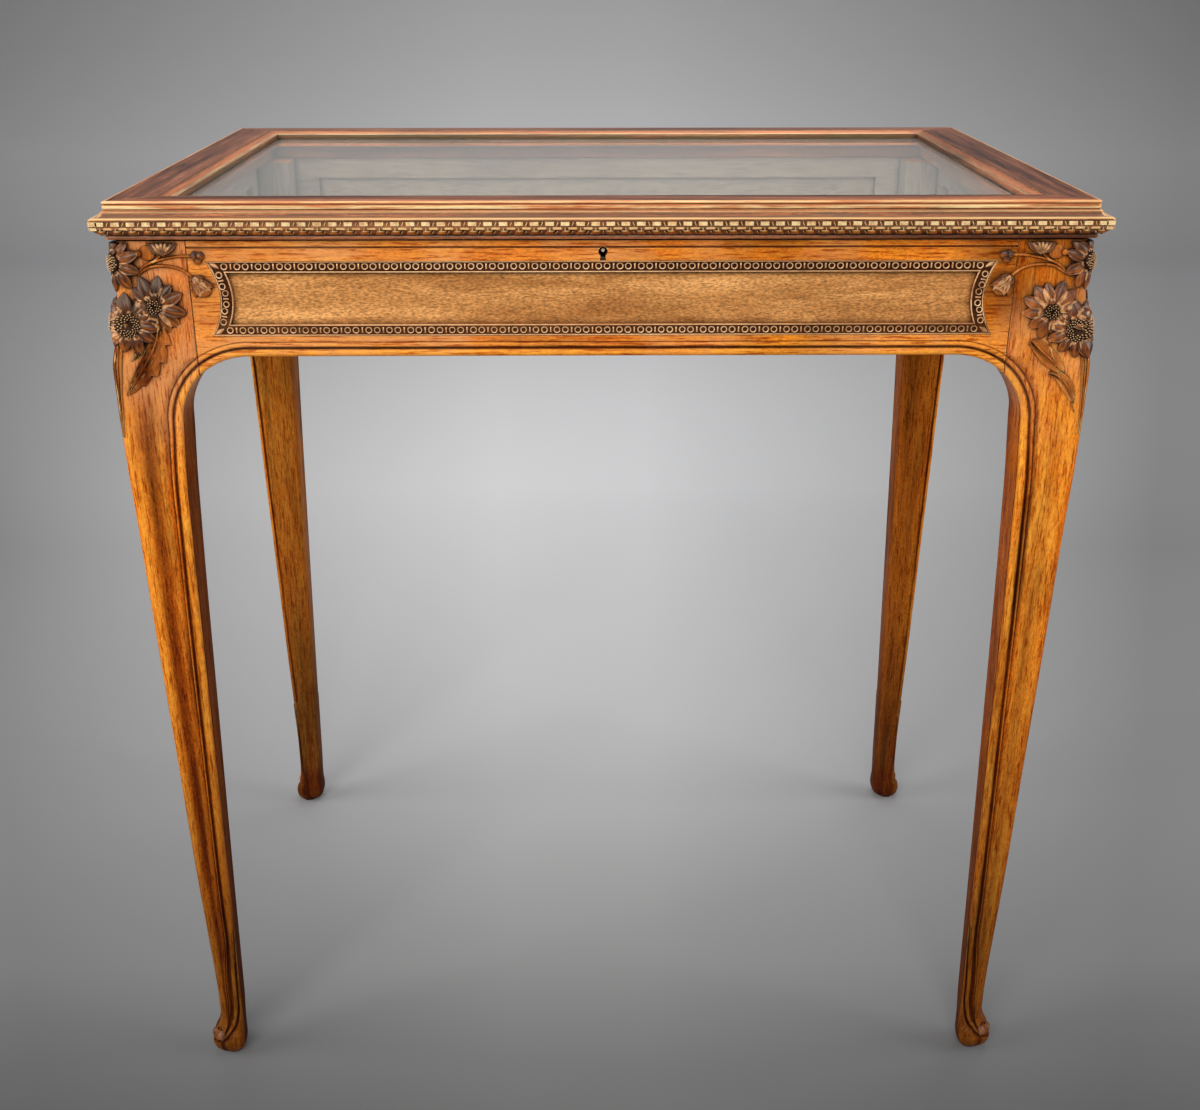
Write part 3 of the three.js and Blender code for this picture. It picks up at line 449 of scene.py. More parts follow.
# Painted light on the lid: copper sheen, gold glints and pale highlight lines, a violet sheen, and olive and
# dark painted shade in the grooves by the glass.
COPPER_SHEEN, GOLD_GLINT, PALE_HIGHLIGHT = colour_of(222, 132, 78), colour_of(255, 228, 168), colour_of(255, 212, 150)
VIOLET_SHEEN, OLIVE_SHADE, GROOVE_SHADE = colour_of(122, 88, 68), colour_of(104, 88, 44), colour_of(44, 24, 14)
LID = dict(light=(214, 132, 84), middle=(142, 82, 52), dark=(62, 30, 20), shade_and_dirt=(34, 16, 12),
           rubbed_and_highlit=(255, 196, 132), lined=False, streaks=110.0, pores=0.8, stretch=0.045,
           lines=((0.7690, 0.7718, VIOLET_SHEEN, 0.2), (0.7731, 0.7778, COPPER_SHEEN, 0.4), (0.7739, 0.7768, GOLD_GLINT, 0.0),
                  (0.7780, 0.7802, COPPER_SHEEN, 0.9), (0.7784, 0.7800, PALE_HIGHLIGHT, 0.1),
                  (0.7721, 0.7728, PALE_HIGHLIGHT, 0.5), (0.7683, 0.7689, PALE_HIGHLIGHT, 0.8),
                  (0.7777, 0.7792, COPPER_SHEEN, 0.4, True), (0.7767, 0.7771, GROOVE_SHADE, 0.9, True),
                  (0.7773, 0.7776, GOLD_GLINT, 0.3, True), (0.7725, 0.7762, OLIVE_SHADE, 0.3, True)),
           roughness=(0.24, 0.42), coat=0.16, gloss=0.35, edge=1.0, edge_width=0.0014)
lid_along = wood("lid walnut lengthwise", "x", **LID)
lid_across = wood("lid walnut crosswise", "y", **LID)
stained_wood = wood("stained ground", "x", (114, 70, 38), (80, 44, 22), (48, 22, 8), (26, 13, 8),
                    (150, 96, 50), lined=False, reach=0.0025, hollow=0.8, edge=0.2)
border_wood = wood("rubbed border walnut", "x", (255, 210, 160), (232, 174, 122), (156, 98, 54), (44, 24, 14),
                   (255, 218, 164), lined=False, reach=0.0011, hollow=0.9, edge=0.8, edge_width=0.0006,
                   roughness=(0.25, 0.4), gloss=0.6)
band_wood = wood("carved band walnut", "x", (238, 150, 64), (188, 98, 30), (90, 34, 8), (26, 12, 6),
                 (255, 214, 148), proud=(255, 226, 168), lined=False, reach=0.003, hollow=1.1, edge=0.9,
                 edge_width=0.0008, roughness=(0.25, 0.4), gloss=0.5)
CARVED = dict(shade_and_dirt=(18, 7, 3), lined=False, reach=0.005, hollow=1.8, edge_width=0.0006,
              roughness=(0.25, 0.42))
carved_wood = wood("carved walnut", "z", (186, 104, 52), (94, 50, 28), (36, 14, 7), rubbed_and_highlit=(255, 190, 130),
                   upper=(88, 66, 58), under=(212, 122, 50), streaks=120.0, stretch=0.3, edge=0.85, coat=0.08,
                   gloss=0.3, **CARVED)
leaf_wood = wood("carved leaves and stems", "z", (240, 152, 72), (192, 108, 46), (104, 46, 14),
                 rubbed_and_highlit=(255, 200, 126), edge=0.7, **CARVED)
heart_wood = wood("dark walnut of the hearts", "z", (92, 62, 40), (68, 44, 27), (40, 24, 14),
                  rubbed_and_highlit=(110, 76, 50), edge=0.2, **CARVED)
seed_wood = wood("rubbed seeds", "z", (244, 204, 156), (214, 170, 124), (140, 98, 66), (40, 20, 12),
                 (250, 216, 160), edge=0.4, lined=False, reach=0.0009, hollow=0.8, edge_width=0.0004)
eye_wood = wood("rubbed eyes of the scrolls", "z", (196, 142, 110), (160, 110, 86), (96, 58, 42), (30, 14, 8),
                (236, 184, 140), lined=False, reach=0.002, edge=0.6, edge_width=0.0008, cloudy=0.15)
BARE = dict(light=(194, 182, 166), middle=(176, 162, 144), dark=(140, 126, 108), shade_and_dirt=(92, 76, 60),
            rubbed_and_highlit=(206, 192, 170), edge=0.0, roughness=(0.6, 0.8), lined=False, reach=0.012, hollow=0.6,
            cloudy=0.3)
bare_along = wood("bare wood lengthwise", "x", **BARE)
bare_across = wood("bare wood crosswise", "y", **BARE)
print("woods:", len(bpy.data.materials) - 1)

# %% [markdown]
# ## Glass, brass and steel
# The pane is clear but old: dust lies on it in specks, and a faint film dulls it. Brass and steel
# are aged with a slow noise in their roughness and colour.

# %% Glass and metals
def glass_pane():
    material, tree, shader = new_material("dusty glass")
    place = object_place(tree)
    film = spread(noise(place, 9.0, 4.0, 0.65), 0.4, 0.75, 0.0, 0.03)
    grains = add_node(tree, "ShaderNodeTexVoronoi", Vector=place, Scale=85.0)
    size = add_node(tree, "ShaderNodeSeparateColor", Color=grains["Color"])[0]
    speck = spread(size * 0.09 - grains["Distance"], 0.02, 0.04)
    feed(shader, Base_Color=(0.93, 0.96, 0.95, 1), Transmission_Weight=0.94, IOR=1.16,
         Roughness=maths("MAXIMUM", film, speck * 0.7))
    clear = add_node(tree, "ShaderNodeBsdfTransparent", Color=(0.93, 0.95, 0.94, 1))[0]
    shadow = add_node(tree, "ShaderNodeLightPath")["Is Shadow Ray"]
    mixed = add_node(tree, "ShaderNodeMixShader", i0=shadow, i1=Node(shader)[0], i2=clear)[0]
    feed(tree.nodes["Material Output"], Surface=mixed)
    return material

def metal(name, colour, tarnish, roughness, unlit_from=None):
    material, tree, shader = new_material(name)
    colour, tarnish = colour_of(*colour), colour_of(*tarnish)
    place = object_place(tree)
    cloud = noise(place, 160.0, 4.0, 0.65)
    hollow_edge = place_group(tree, hollow_edge_group, Reach=0.003, Edge_Width=0.0006, Hollow_Strength=0.8, Edge_Strength=0.6)
    tone = blend(spread(cloud, 0.4, 0.65), colour, tarnish)
    tone = blend(hollow_edge["Hollow"], blend(hollow_edge["Edge"], tone, colour), tarnish)
    if unlit_from is not None:
        tone = blend(spread(split_axes(place)["Y"], unlit_from, unlit_from + 0.001), tone,
                     colour_of(12, 9, 6))
    feed(shader, Base_Color=tone, Roughness=spread(cloud, 0.3, 0.7, roughness, roughness + 0.2), Metallic=1.0)
    return material

pane = glass_pane()
brass = metal("aged brass", (190, 150, 84), (104, 76, 40), 0.3)
steel = metal("dull steel", (150, 148, 144), (88, 80, 72), 0.35)
pin_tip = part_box("lock_cap")[0].y
cap_brass = metal("brass of the lock, dark inside the keyway", (255, 244, 226), (230, 214, 190), 0.3,
                  pin_tip + 0.0008)
print("glass and metals made")

# %% [markdown]
# ## Making pieces
# Each fine piece is first worked out in millimetres, as the joiner would, and scaled to metres
# when its mesh is made. Faces meet smoothly unless they meet at a real arris.

# %% Piece helpers
def mesh_from(name, points, faces):
    mesh = bpy.data.meshes.new(name)
    mesh.from_pydata((np.asarray(points, float) * MM).tolist(), [],
                     [tuple(int(i) for i in face) for face in faces])
    mesh.validate()
    mesh.update()
    return mesh

def points_of(mesh):
    points = np.zeros(len(mesh.vertices) * 3)
    mesh.vertices.foreach_get("co", points)
    return points.reshape(-1, 3) / MM

def move_points(mesh, points):
    mesh.vertices.foreach_set("co", (points * MM).ravel())
    mesh.update()
    return mesh

def mark_points(mesh, name, values):
    mesh.attributes.new(name, "FLOAT", "POINT").data.foreach_set("value", np.array(values, "f"))

def outward(mesh):
    working = bmesh.new()
    working.from_mesh(mesh)
    bmesh.ops.remove_doubles(working, verts=working.verts, dist=1e-6)
    bmesh.ops.recalc_face_normals(working, faces=working.faces)
    working.to_mesh(mesh)
    working.free()
    return mesh

def join_meshes(meshes):
    working = bmesh.new()
    for mesh in meshes:
        working.from_mesh(mesh)
    joined = bpy.data.meshes.new("joined")
    working.to_mesh(joined)
    working.free()
    return joined

def baked(thing):
    """Gives the mesh that an object's modifiers make"""
    return bpy.data.meshes.new_from_object(thing.evaluated_get(bpy.context.evaluated_depsgraph_get()))

def take_away(*things):
    for thing in things:
        bpy.data.objects.remove(thing)

def show(name, mesh, materials, stands_for=(), arris=35, body="case"):
    piece = put(name, mesh)
    mesh.materials.clear()
    for material in materials:
        mesh.materials.append(material)
    mesh.shade_smooth()
    mesh.set_sharp_from_angle(angle=math.radians(arris))
    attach(piece, body)
    if stands_for:
        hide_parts(*stands_for)
    print(name, len(mesh.polygons), "faces")
    return piece

def skin(rings, closed=True, capped=True):
    count = len(rings[0])
    points = np.concatenate([np.asarray(ring, float) for ring in rings])
    faces = []
    for r in range(len(rings) - 1):
        for i in range(count if closed else count - 1):
            a, b = r * count + i, r * count + (i + 1) % count
            faces.append((a, b, b + count, a + count))
    if capped:
        last = (len(rings) - 1) * count
        faces.append(tuple(range(count))[::-1])
        faces.append(tuple(range(last, last + count)))
    return points, faces

def solid(name, rings):
    return outward(mesh_from(name, *skin(rings)))

def gather(pieces):
    points, faces, first = [], [], 0
    for p, f in pieces:
        p = np.asarray(p, float)
        points.append(p)
        faces += [tuple(first + i for i in face) for face in f]
        first += len(p)
    return np.concatenate(points), faces

def round_angles(count):
    return [2 * math.pi * k / count for k in range(count)]

def turned_rings(radius, line, around):
    """Turns a line on the lathe; the line gives shares of the radius, and heights"""
    return [[(radius * r * math.cos(t), radius * r * math.sin(t), z) for t in round_angles(around)]
            for r, z in line]

def limited(value):
    return min(1.0, max(0.0, value))

def smooth_step(low, high, value):
    t = limited((value - low) / (high - low))
    return t * t * (3 - 2 * t)

# %% [markdown]
# ## The legs
# A leg is one stick of walnut. Its outer corner swells below the carving, thins to the ankle, and
# rolls out again into the scroll foot. A bead with a groove beside it runs up the inner edge,
# round the bracket and into the apron. The CAD solid has these lines with few facets. Here the same
# lines are drawn at many more heights, so that light runs down them without a break.

# %% Sizes shared by the case
CASE_TOP, CASE_BOTTOM = 751.0, 664.0
HALF_WIDTH, HALF_DEPTH = 357.0, 227.0
POST, KNEE_INNER, KNEE_SWELL = 52.0, 36.0, 10.0
BRACKET_SPAN, BRACKET_RISE = 55.0, 50.0
BRACKET_FOOT = CASE_BOTTOM - BRACKET_RISE
BRACKET_REACH = KNEE_INNER + BRACKET_SPAN - POST
BEAD, BEAD_DEEP, QUIRK, QUIRK_DEEP, STRIP_WIDE = 6.2, 3.0, 1.4, 2.4, 3.6
SCROLL_TOP, SCROLL_END, FLUSH, LIP = 60.0, 16.0, 60.0, 3.2
GROUND_DROP = 1.8
CORNER_ROUND, INNER_ROUND, POST_ROUND = 6.0, 9.0, 1.5

KNEE_LINE = [(0.11, -0.42), (0.17, -0.26), (0.28, 0.02), (0.4, 0.24), (0.55, 0.54), (0.7, 0.8),
             (0.8, 1), (0.87, 0.98), (0.93, 0.6), (1, 0)]
FOOT_LINE = [(0, -0.5), (0.003, -0.2), (0.007, 0.06), (0.013, 0.27), (0.02, 0.36), (0.028, 0.24),
             (0.035, -0.06), (0.041, -0.32), (0.05, -0.45), (0.075, -0.46)]
OUTER_LINE = FOOT_LINE + KNEE_LINE
PAD_LINE = FOOT_LINE[:7] + [(0.043, -0.2), (0.055, -0.34), (0.075, -0.42)] + KNEE_LINE
INNER_LINE = [(0, 0.5), (0.0025, 0.58), (0.006, 0.645), (0.012, 0.7), (0.022, 0.725), (0.045, 0.72),
              (0.08, 0.73), (0.15, 0.75), (0.28, 0.79), (0.45, 0.85), (0.62, 0.91), (0.74, 0.965), (0.82, 1),
              (1, 1)]
BEAD_LINE = [(0, 0.68), (0.06, 0.7), (0.13, 0.85), (0.22, 1.15), (0.5, 1.2), (0.76, 1.12), (0.85, 1), (1, 1)]
STRIP_LINE_UP = [(0, 0.1), (0.1, 0.25), (0.6, 0.42), (0.78, 0.65), (0.85, 1), (1, 1)]
GROUND_LINE = [(0.878, 0), (0.905, 1), (0.955, 1), (0.992, 0)]
CORNER_LINE = [(0, 1.5), (0.03, 1.5), (0.06, 1), (1, 1)]

# %% Lines of the leg
def along(pairs, share):
    """Reads a smooth line that runs through the pairs and never swings past them"""
    if share <= pairs[0][0]:
        return pairs[0][1]
    if share >= pairs[-1][0]:
        return pairs[-1][1]
    slope = [(b[1] - a[1]) / (b[0] - a[0]) for a, b in zip(pairs, pairs[1:])]
    i = 0
    while share > pairs[i + 1][0]:
        i += 1
    def tangent(k):
        if k == 0:
            return slope[0]
        if k == len(pairs) - 1:
            return slope[-1]
        before, after = slope[k - 1], slope[k]
        return 0 if before * after <= 0 else 2 * before * after / (before + after)
    span = pairs[i + 1][0] - pairs[i][0]
    t = (share - pairs[i][0]) / span
    t2, t3 = t * t, t ** 3
    start = pairs[i][1] * (2 * t3 - 3 * t2 + 1) + tangent(i) * span * (t3 - 2 * t2 + t)
    return start + pairs[i + 1][1] * (3 * t2 - 2 * t3) + tangent(i + 1) * span * (t3 - t2)

def moulding_section(scale, quirk=QUIRK, strip=STRIP_WIDE, steps=8):
    """Gives the bead, the quirk and the raised strip: distance from the edge, and depth"""
    bead, deep = [], BEAD_DEEP * min(1, scale)
    for k in range(steps):
        angle = math.pi * k / steps
        bead.append((BEAD * scale * (0.5 - 0.5 * math.cos(angle)),
                     deep * (1 - 0.93 * math.sin(angle) ** 0.8)))
    floor = QUIRK_DEEP * min(1, scale) + 0.4 * (quirk - QUIRK)
    edge = BEAD * scale + quirk
    rise = 0.35 + 0.12 * strip
    return bead + [(BEAD * scale, floor), (BEAD * scale + 0.5 * quirk, floor), (edge, rise),
                   (edge + 0.25 * strip, 0.1 * rise), (edge + 0.6 * strip, 0.0),
                   (edge + 0.9 * strip, 0.5 * rise), (edge + strip, rise), (edge + strip + 0.7, 0.0)]

def joint_height(distance):
    share = BRACKET_REACH / (BRACKET_SPAN + distance)
    return BRACKET_FOOT + (BRACKET_RISE + distance) * math.sqrt(1 - share * share)

def edge_at(height, distance):
    """Gives the place of the line that runs at a distance from the inner edge and the bracket"""
    if height <= BRACKET_FOOT:
        return KNEE_INNER * along(INNER_LINE, height / CASE_TOP) - distance
    climb = (height - BRACKET_FOOT) / (BRACKET_RISE + distance)
    if climb >= 1:
        return POST
    run = (BRACKET_SPAN + distance) * math.sqrt(1 - climb * climb)
    return min(POST, KNEE_INNER + BRACKET_SPAN - run)

def depth_at_joint(height, section):
    for (d0, z0), (d1, z1) in zip(section, section[1:]):
        low, high = joint_height(d0), joint_height(d1)
        if low <= height <= high and high > low:
            return z0 + (z1 - z0) * (height - low) / (high - low)
    return 0.0

def leg_half(height):
    """Gives half of the leg's section, from the outer corner over face and moulding to the inner one"""
    share = height / CASE_TOP
    free = 1 - smooth_step(BRACKET_FOOT - FLUSH, joint_height(0), height)
    corner = KNEE_SWELL * along(OUTER_LINE, share) - GROUND_DROP * along(GROUND_LINE, share)
    inner = KNEE_SWELL * along(PAD_LINE, share) * free
    low = 1 - smooth_step(66, 140, height)
    section = moulding_section(along(BEAD_LINE, share), QUIRK + 1.9 * low,
                               STRIP_WIDE * along(STRIP_LINE_UP, share))
    inner_edge = edge_at(height, 0)
    around = CORNER_ROUND * along(CORNER_LINE, share)
    start = around - corner
    part = limited((SCROLL_TOP - height) / (SCROLL_TOP - SCROLL_END))
    curl = LIP * low + part ** 2.4 * (inner_edge - start - LIP * low)
    half = [(start - around * math.sin(t), start - around * math.cos(t))
            for t in np.linspace(math.pi / 4, 0, 9)]
    moulding = []
    for distance, depth in section:
        place = edge_at(height, distance) - curl
        if place <= start:
            moulding.append((start, -corner))
        elif place >= POST:
            moulding.append((POST, depth_at_joint(height, section) - inner))
        else:
            towards = min(1.0, distance / (BEAD + QUIRK)) if part > 0 else 0.0
            moulding.append((place, depth - (inner + (corner - inner) * towards)))
    moulding.reverse()
    end = moulding[0]
    hollow = 1.2 * smooth_step(start, KNEE_INNER / 2, end[0]) * (1 - part) * free
    for t in np.linspace(0, 1, 10)[1:-1]:
        place = start + (end[0] - start) * t
        half.append((place, -corner + (end[1] + corner) * t + hollow * 4 * t * (1 - t) * (1 - 0.3 * t)))
    half += moulding
    bead_edge = moulding[-1][0]
    lip = inner_edge - bead_edge
    foot = 1 - smooth_step(14, 60, height)
    if lip > 0.01:
        side = min(1.7, 0.42 * lip)
        level = -inner
        groove = smooth_step(SCROLL_END, SCROLL_END + 5, height)
        soft = 6.5 * foot
        half += [(bead_edge + 0.35 * side, level + groove * min(2.4, lip)),
                 (bead_edge + side, level + groove * min(1.6, 0.6 * lip))]
        for t in (0.1, 0.3, 0.55, 0.8, 0.93, 1.0):
            place = bead_edge + side + (lip - side) * t
            round_off = limited((place - inner_edge + soft) / max(soft, 0.01))
            swell = 1.1 * min(1, lip / 6) * math.sin(math.pi * min(1, 0.25 + t * 0.75))
            half.append((place, level - swell + soft * (1 - math.sqrt(1 - round_off ** 2))))
    else:
        half += [(inner_edge, moulding[-1][1])] * 8
    radius = POST_ROUND + (INNER_ROUND - POST_ROUND) * free + 5 * foot
    centre = inner_edge - radius
    back = half[-1][1]
    nick = 0.8 * free * smooth_step(240, 360, height)
    for down, inward in ((0.5, 0.0), (0.9, nick), (2.2, nick), (2.8, 0.0)):
        half.append((inner_edge - inward, min(back + down * (1 - part) + 0.01, centre)))
    half += [(centre + radius * math.cos(t), centre + radius * math.sin(t))
             for t in np.linspace(0, math.pi / 4, 7)]
    return half

# The point of the half section, counted from the outer corner, at which each of its parts begins
FACE, MOULDING, LIP_RISE, NICK, INNER_SIDE = 9, 17, 33, 41, 44
# How much painted highlight and how much painted shade each line of the half section gets
HALF_HIGHLIGHT = ([0.6, 0.7, 0.8, 0.95, 1, 1, 1, 0.95, 0.85] + [0.6, 0.3, 0.08, 0, 0, 0.2, 0.5, 0.25]
             + [0.1, 0.0, 0.3, 0.5, 0.3, 0.1, 0, 0] + [0.3, 0.7, 0.95, 1, 1, 0.95, 0.8, 0.6]
             + [0, 0.1, 0.4, 0.7, 0.8, 0.7, 0.5, 0.3] + [0.4, 0.1, 0.1, 0.3]
             + [0.15, 0.1, 0.1, 0.2, 0.4, 0.5, 0.5])
RIGHT_HIGHLIGHT = ([0.25, 0.3, 0.4, 0.5, 0.55, 0.6, 0.65, 0.7, 0.8] + [0.9, 1, 1, 0.95, 0.75, 0.75, 1, 0.7]
              + HALF_HIGHLIGHT[MOULDING:])
HALF_SHADE = ([0] * 9 + [0, 0.2, 0.55, 0.75, 0.68, 0.42, 0.12, 0.15]
              + [0.4, 0.8, 0.4, 0, 0.1, 0.3, 0.5, 0.4] + [0.1, 0.05] + [0] * 6
              + [0.7, 0.4, 0.1, 0, 0, 0, 0, 0.1] + [0.4, 0.8, 0.8, 0.8]
              + [0.95, 0.95, 0.9, 0.8, 0.7, 0.6, 0.5])

EYE_HEIGHT, EYE_WIDE, EYE_HIGH = 22.5, 2.9, 3.9

def around_eye(a, height):
    return math.hypot((a - 2.2) / EYE_WIDE, (height - EYE_HEIGHT) / EYE_HIGH)

def eye_groove(a, height):
    return math.exp(-((around_eye(a, height) - 1.42) / 0.26) ** 2) if height < 40 else 0.0

def leg_heights():
    heights = list(np.arange(0, 20, 0.8)) + list(np.arange(20, 66, 1.1)) + list(np.arange(66, 150, 5))
    heights += list(np.arange(150, 590, 14)) + list(np.arange(590, CASE_TOP, 1.5)) + [CASE_TOP]
    heights += [joint_height(distance) for distance, _ in moulding_section(1)]
    kept = []
    for height in sorted(heights):
        if not kept or height - kept[-1] > 0.05:
            kept.append(height)
    return kept

def at_corner(a, b, z, side_x, side_y):
    """Places a point that is measured from the post's outer corner"""
    return side_x * (HALF_WIDTH - a), side_y * (HALF_DEPTH - b), z

def leg_marks(i, height, side_x, side_y, moulded, plain):
    """Gives the painted highlight and the painted shade of one line of the half section, before the scroll's
    groove is cut
    """
    right, back, face, inner_side = side_x > 0, side_y > 0, FACE <= i < MOULDING, i >= INNER_SIDE
    k = LIP_RISE - 1 if LIP_RISE <= i < NICK and height > 140 else i
    highlight = (RIGHT_HIGHLIGHT if right else HALF_HIGHLIGHT)[k] + (0.25 * smooth_step(380, 560, height) if face else 0)
    gloom = HALF_SHADE[k]
    # The right legs' faces, and the inner sides of the right and back legs, get less painted shade.
    if face and right:
        gloom *= 0.35
    if inner_side and (back or right):
        gloom *= 0.45 if back else 0.5
    if MOULDING <= i < LIP_RISE:
        highlight, gloom = min(1, highlight) * moulded, gloom * moulded
    else:
        highlight, gloom = highlight * (0.45 + 0.55 * plain), gloom * plain
    # Painted highlight along the back legs' inner sides, fading out at the foot.
    if back and inner_side:
        highlight = (0.4 if right else 0.75) * (1 - smooth_step(60, 30, height))
    # Painted shade on the face just above the scroll's eye.
    if FACE <= i < MOULDING + 5:
        gloom = max(gloom, 0.7 * smooth_step(10, 20, height) * (1 - smooth_step(24, 75, height)))
    return min(1, highlight), gloom

def leg_ring(height, side_x, side_y):
    half = leg_half(height)
    sunk, marks = [], []
    plain = 1 - smooth_step(600, 655, height)
    for i, (a, b) in enumerate(half):
        # The eye's groove is sunk, and painted shade takes the place of the highlight in it.
        ring = eye_groove(a, height) if i < 26 else 0.0
        sunk.append((a + (0.3 * ring if i < 6 else 0), b + 1.3 * ring))
        highlight, gloom = leg_marks(i, height, side_x, side_y, a < POST - 0.01, plain)
        marks.append((highlight * (1 - ring), max(gloom, ring)))
    sunk[0] = half[0]
    other = [(b, a) for a, b in sunk[1:-1]][::-1]
    points = [at_corner(a, b, height, side_x, side_y) for a, b in sunk + other]
    return points, marks + marks[1:-1][::-1]

# %% Make the four legs
LEGS = [("front", "left", -1, -1), ("front", "right", 1, -1), ("back", "left", -1, 1),
        ("back", "right", 1, 1)]
for depth_name, width_name, side_x, side_y in LEGS:
    rings = [leg_ring(height, side_x, side_y) for height in leg_heights()]
    mesh = mesh_from("leg", *skin([ring for ring, _ in rings]))
    for kind, name in enumerate(("glow", "shade")):
        mark_points(mesh, name, [mark[kind] for _, marks in rings for mark in marks])
    leg_name = f"leg_{depth_name}_{width_name}"
    show("carved_" + leg_name, outward(mesh), [walnut_up], [leg_name], arris=50)

# %% [markdown]
# The bead ends at the foot against a small oval button, the eye of the scroll, with a dark groove
# round it. Each foot has two, one on either outer face.

# %% Eyes of the scrolls
EYE_TURN = math.radians(11)
EYE_LINE = ((1.0, -2.5), (1.0, 0.3), (0.94, 1.0), (0.78, 1.6), (0.5, 2.0), (0.2, 2.1))

def eye_button(side_x, side_y, flip):
    centre = np.array(leg_half(EYE_HEIGHT)[6])
    across = np.array([math.cos(EYE_TURN), -math.sin(EYE_TURN)])
    out = np.array([-math.sin(EYE_TURN), -math.cos(EYE_TURN)])
    rings = []
    for grow, lift in EYE_LINE:
        line = []
        for t in round_angles(24):
            a, b = (centre + across * EYE_WIDE * grow * math.cos(t) + out * lift)[::-1 if flip else 1]
            line.append(at_corner(a, b, EYE_HEIGHT + EYE_HIGH * grow * math.sin(t), side_x, side_y))
        rings.append(line)
    return solid("eye", rings)

for depth_name, width_name, side_x, side_y in LEGS:
    for face_name, flip in ((depth_name, False), (width_name, True)):
        name = f"scroll_eye_{face_name}_face_{depth_name}_{width_name}"
        show(name, eye_button(side_x, side_y, flip), [eye_wood], arris=50)

# %% [markdown]
# ## The aprons
# An apron is a board between two legs, with a sunk cartouche on its face and a moulded lower edge.
# It is cut as in the workshop: a blank is sawn to its outline, and one cutter after another takes
# wood away. Booleans do that well when each cutter is a closed solid that overshoots the board.

# %% Sizes of the apron
APRON_THICK, FIT, PAST = 20.0, 0.3, 2.0
CARTOUCHE_INSET, CARTOUCHE_DROP, CARTOUCHE_HIGH, CARTOUCHE_SAG = 13.0, 15.0, 56.0, 8.5
BAND_WIDE, BAND_HIGH, BAND_DEEP, FIELD_SAG = 14.0, 8.5, 1.2, 4.0
PANEL_SINK, PANEL_LAP = 4.0, 4.0
BAND_LOW, BAND_TOP = CASE_TOP - CARTOUCHE_DROP - CARTOUCHE_HIGH, CASE_TOP - CARTOUCHE_DROP
FIELD_LOW, FIELD_HIGH = BAND_LOW + BAND_HIGH, BAND_TOP - BAND_HIGH
LOCK_HALF, LOCK_LOW, LOCK_FRONT, LOCK_THICK, KEY_HEIGHT = 28.0, CASE_TOP - 18.5, 11.0, 9.0, CASE_TOP - 8.4
HINGE_CENTRES, HINGE_LONG, LEAF_WIDE, LEAF_THICK = (-220.0, 220.0), 50.0, 18.0, 1.6
PIN_Y, PIN_Z, KNUCKLE = HALF_DEPTH + 4.5, CASE_TOP + 0.75, 3.2
LONG_JOINT, SHORT_JOINT = HALF_WIDTH - POST, HALF_DEPTH - POST
SIDES = {"front": (0, (0, -HALF_DEPTH)), "back": (math.pi, (0, HALF_DEPTH)),
         "left": (-math.pi / 2, (-HALF_WIDTH, 0)), "right": (math.pi / 2, (HALF_WIDTH, 0))}

def is_long(side):
    return side in ("front", "back")

def joint_of(side):
    return LONG_JOINT if is_long(side) else SHORT_JOINT

# %% Cutting helpers
def to_side(points, side):
    """Moves points from the front, where they are worked, to their own side of the table"""
    turn, (x0, y0) = SIDES[side] if isinstance(side, str) else side
    points = np.array(points, float)
    c, s = math.cos(turn), math.sin(turn)
    x, y = points[:, 0].copy(), points[:, 1].copy()
    points[:, 0], points[:, 1] = x * c - y * s + x0, x * s + y * c + y0
    return points

def prism(outline, low, high):
    return solid("prism", [[(x, level, z) for x, z in outline] for level in (low, high)])

def block(low, high):
    (x0, near, z0), (x1, far, z1) = low, high
    return prism([(x0, z0), (x1, z0), (x1, z1), (x0, z1)], near, far)

def cut(base, cutters):
    target = put("blank", base)
    tools = [put("cutter", mesh) for mesh in cutters]
    for tool in tools:
        step = target.modifiers.new("cut", "BOOLEAN")
        step.operation, step.solver, step.object = "DIFFERENCE", "MANIFOLD", tool
    made = baked(target)
    take_away(target, *tools)
    return made

def turn_mesh(mesh, side):
    return move_points(mesh, to_side(points_of(mesh), side))

# %% Lines of the apron
def hollow_ended(half_length, low, high, sag, steps=16):
    middle, rise = (low + high) / 2, (high - low) / 2
    right = [(half_length - sag * (1 - t * t), middle + t * rise) for t in np.linspace(-1, 1, steps + 1)]
    left = [(-x, z) for x, z in right[::-1]]
    return right + left

def underside(joint, distance, reach, steps=20):
    centre = joint - BRACKET_REACH
    stop = math.acos(reach / BRACKET_SPAN)
    side = []
    for step in range(steps, -1, -1):
        angle = stop + (math.pi / 2 - stop) * step / steps
        side.append((centre + (BRACKET_SPAN + distance) * math.cos(angle),
                     BRACKET_FOOT + (BRACKET_RISE + distance) * math.sin(angle)))
    return [(-x, z) for x, z in side[::-1]] + side

def moulding_cutter(joint):
    section = moulding_section(1)
    cutter = [(-PAST, -PAST), (-PAST, section[0][1])] + section + [(section[-1][0], -PAST)]
    lines = [underside(joint, distance, BRACKET_REACH + PAST) for distance, _ in cutter]
    rings = [[(line[k][0], depth, line[k][1]) for line, (_, depth) in zip(lines, cutter)]
             for k in range(len(lines[0]))]
    return solid("moulding cutter", rings)

def keyhole(low, high):
    ring = [(3.5 * math.cos(t), KEY_HEIGHT + 3.5 * math.sin(t)) for t in np.linspace(-1.0, math.pi + 1.0, 22)]
    outline = ring + [(-2.3, KEY_HEIGHT - 7.2), (2.3, KEY_HEIGHT - 7.2)]
    return prism(outline, low, high)

# %% Mark the painted highlight and shade of the mouldings
BRACKET_MEAN = 52   # about the bracket's radius

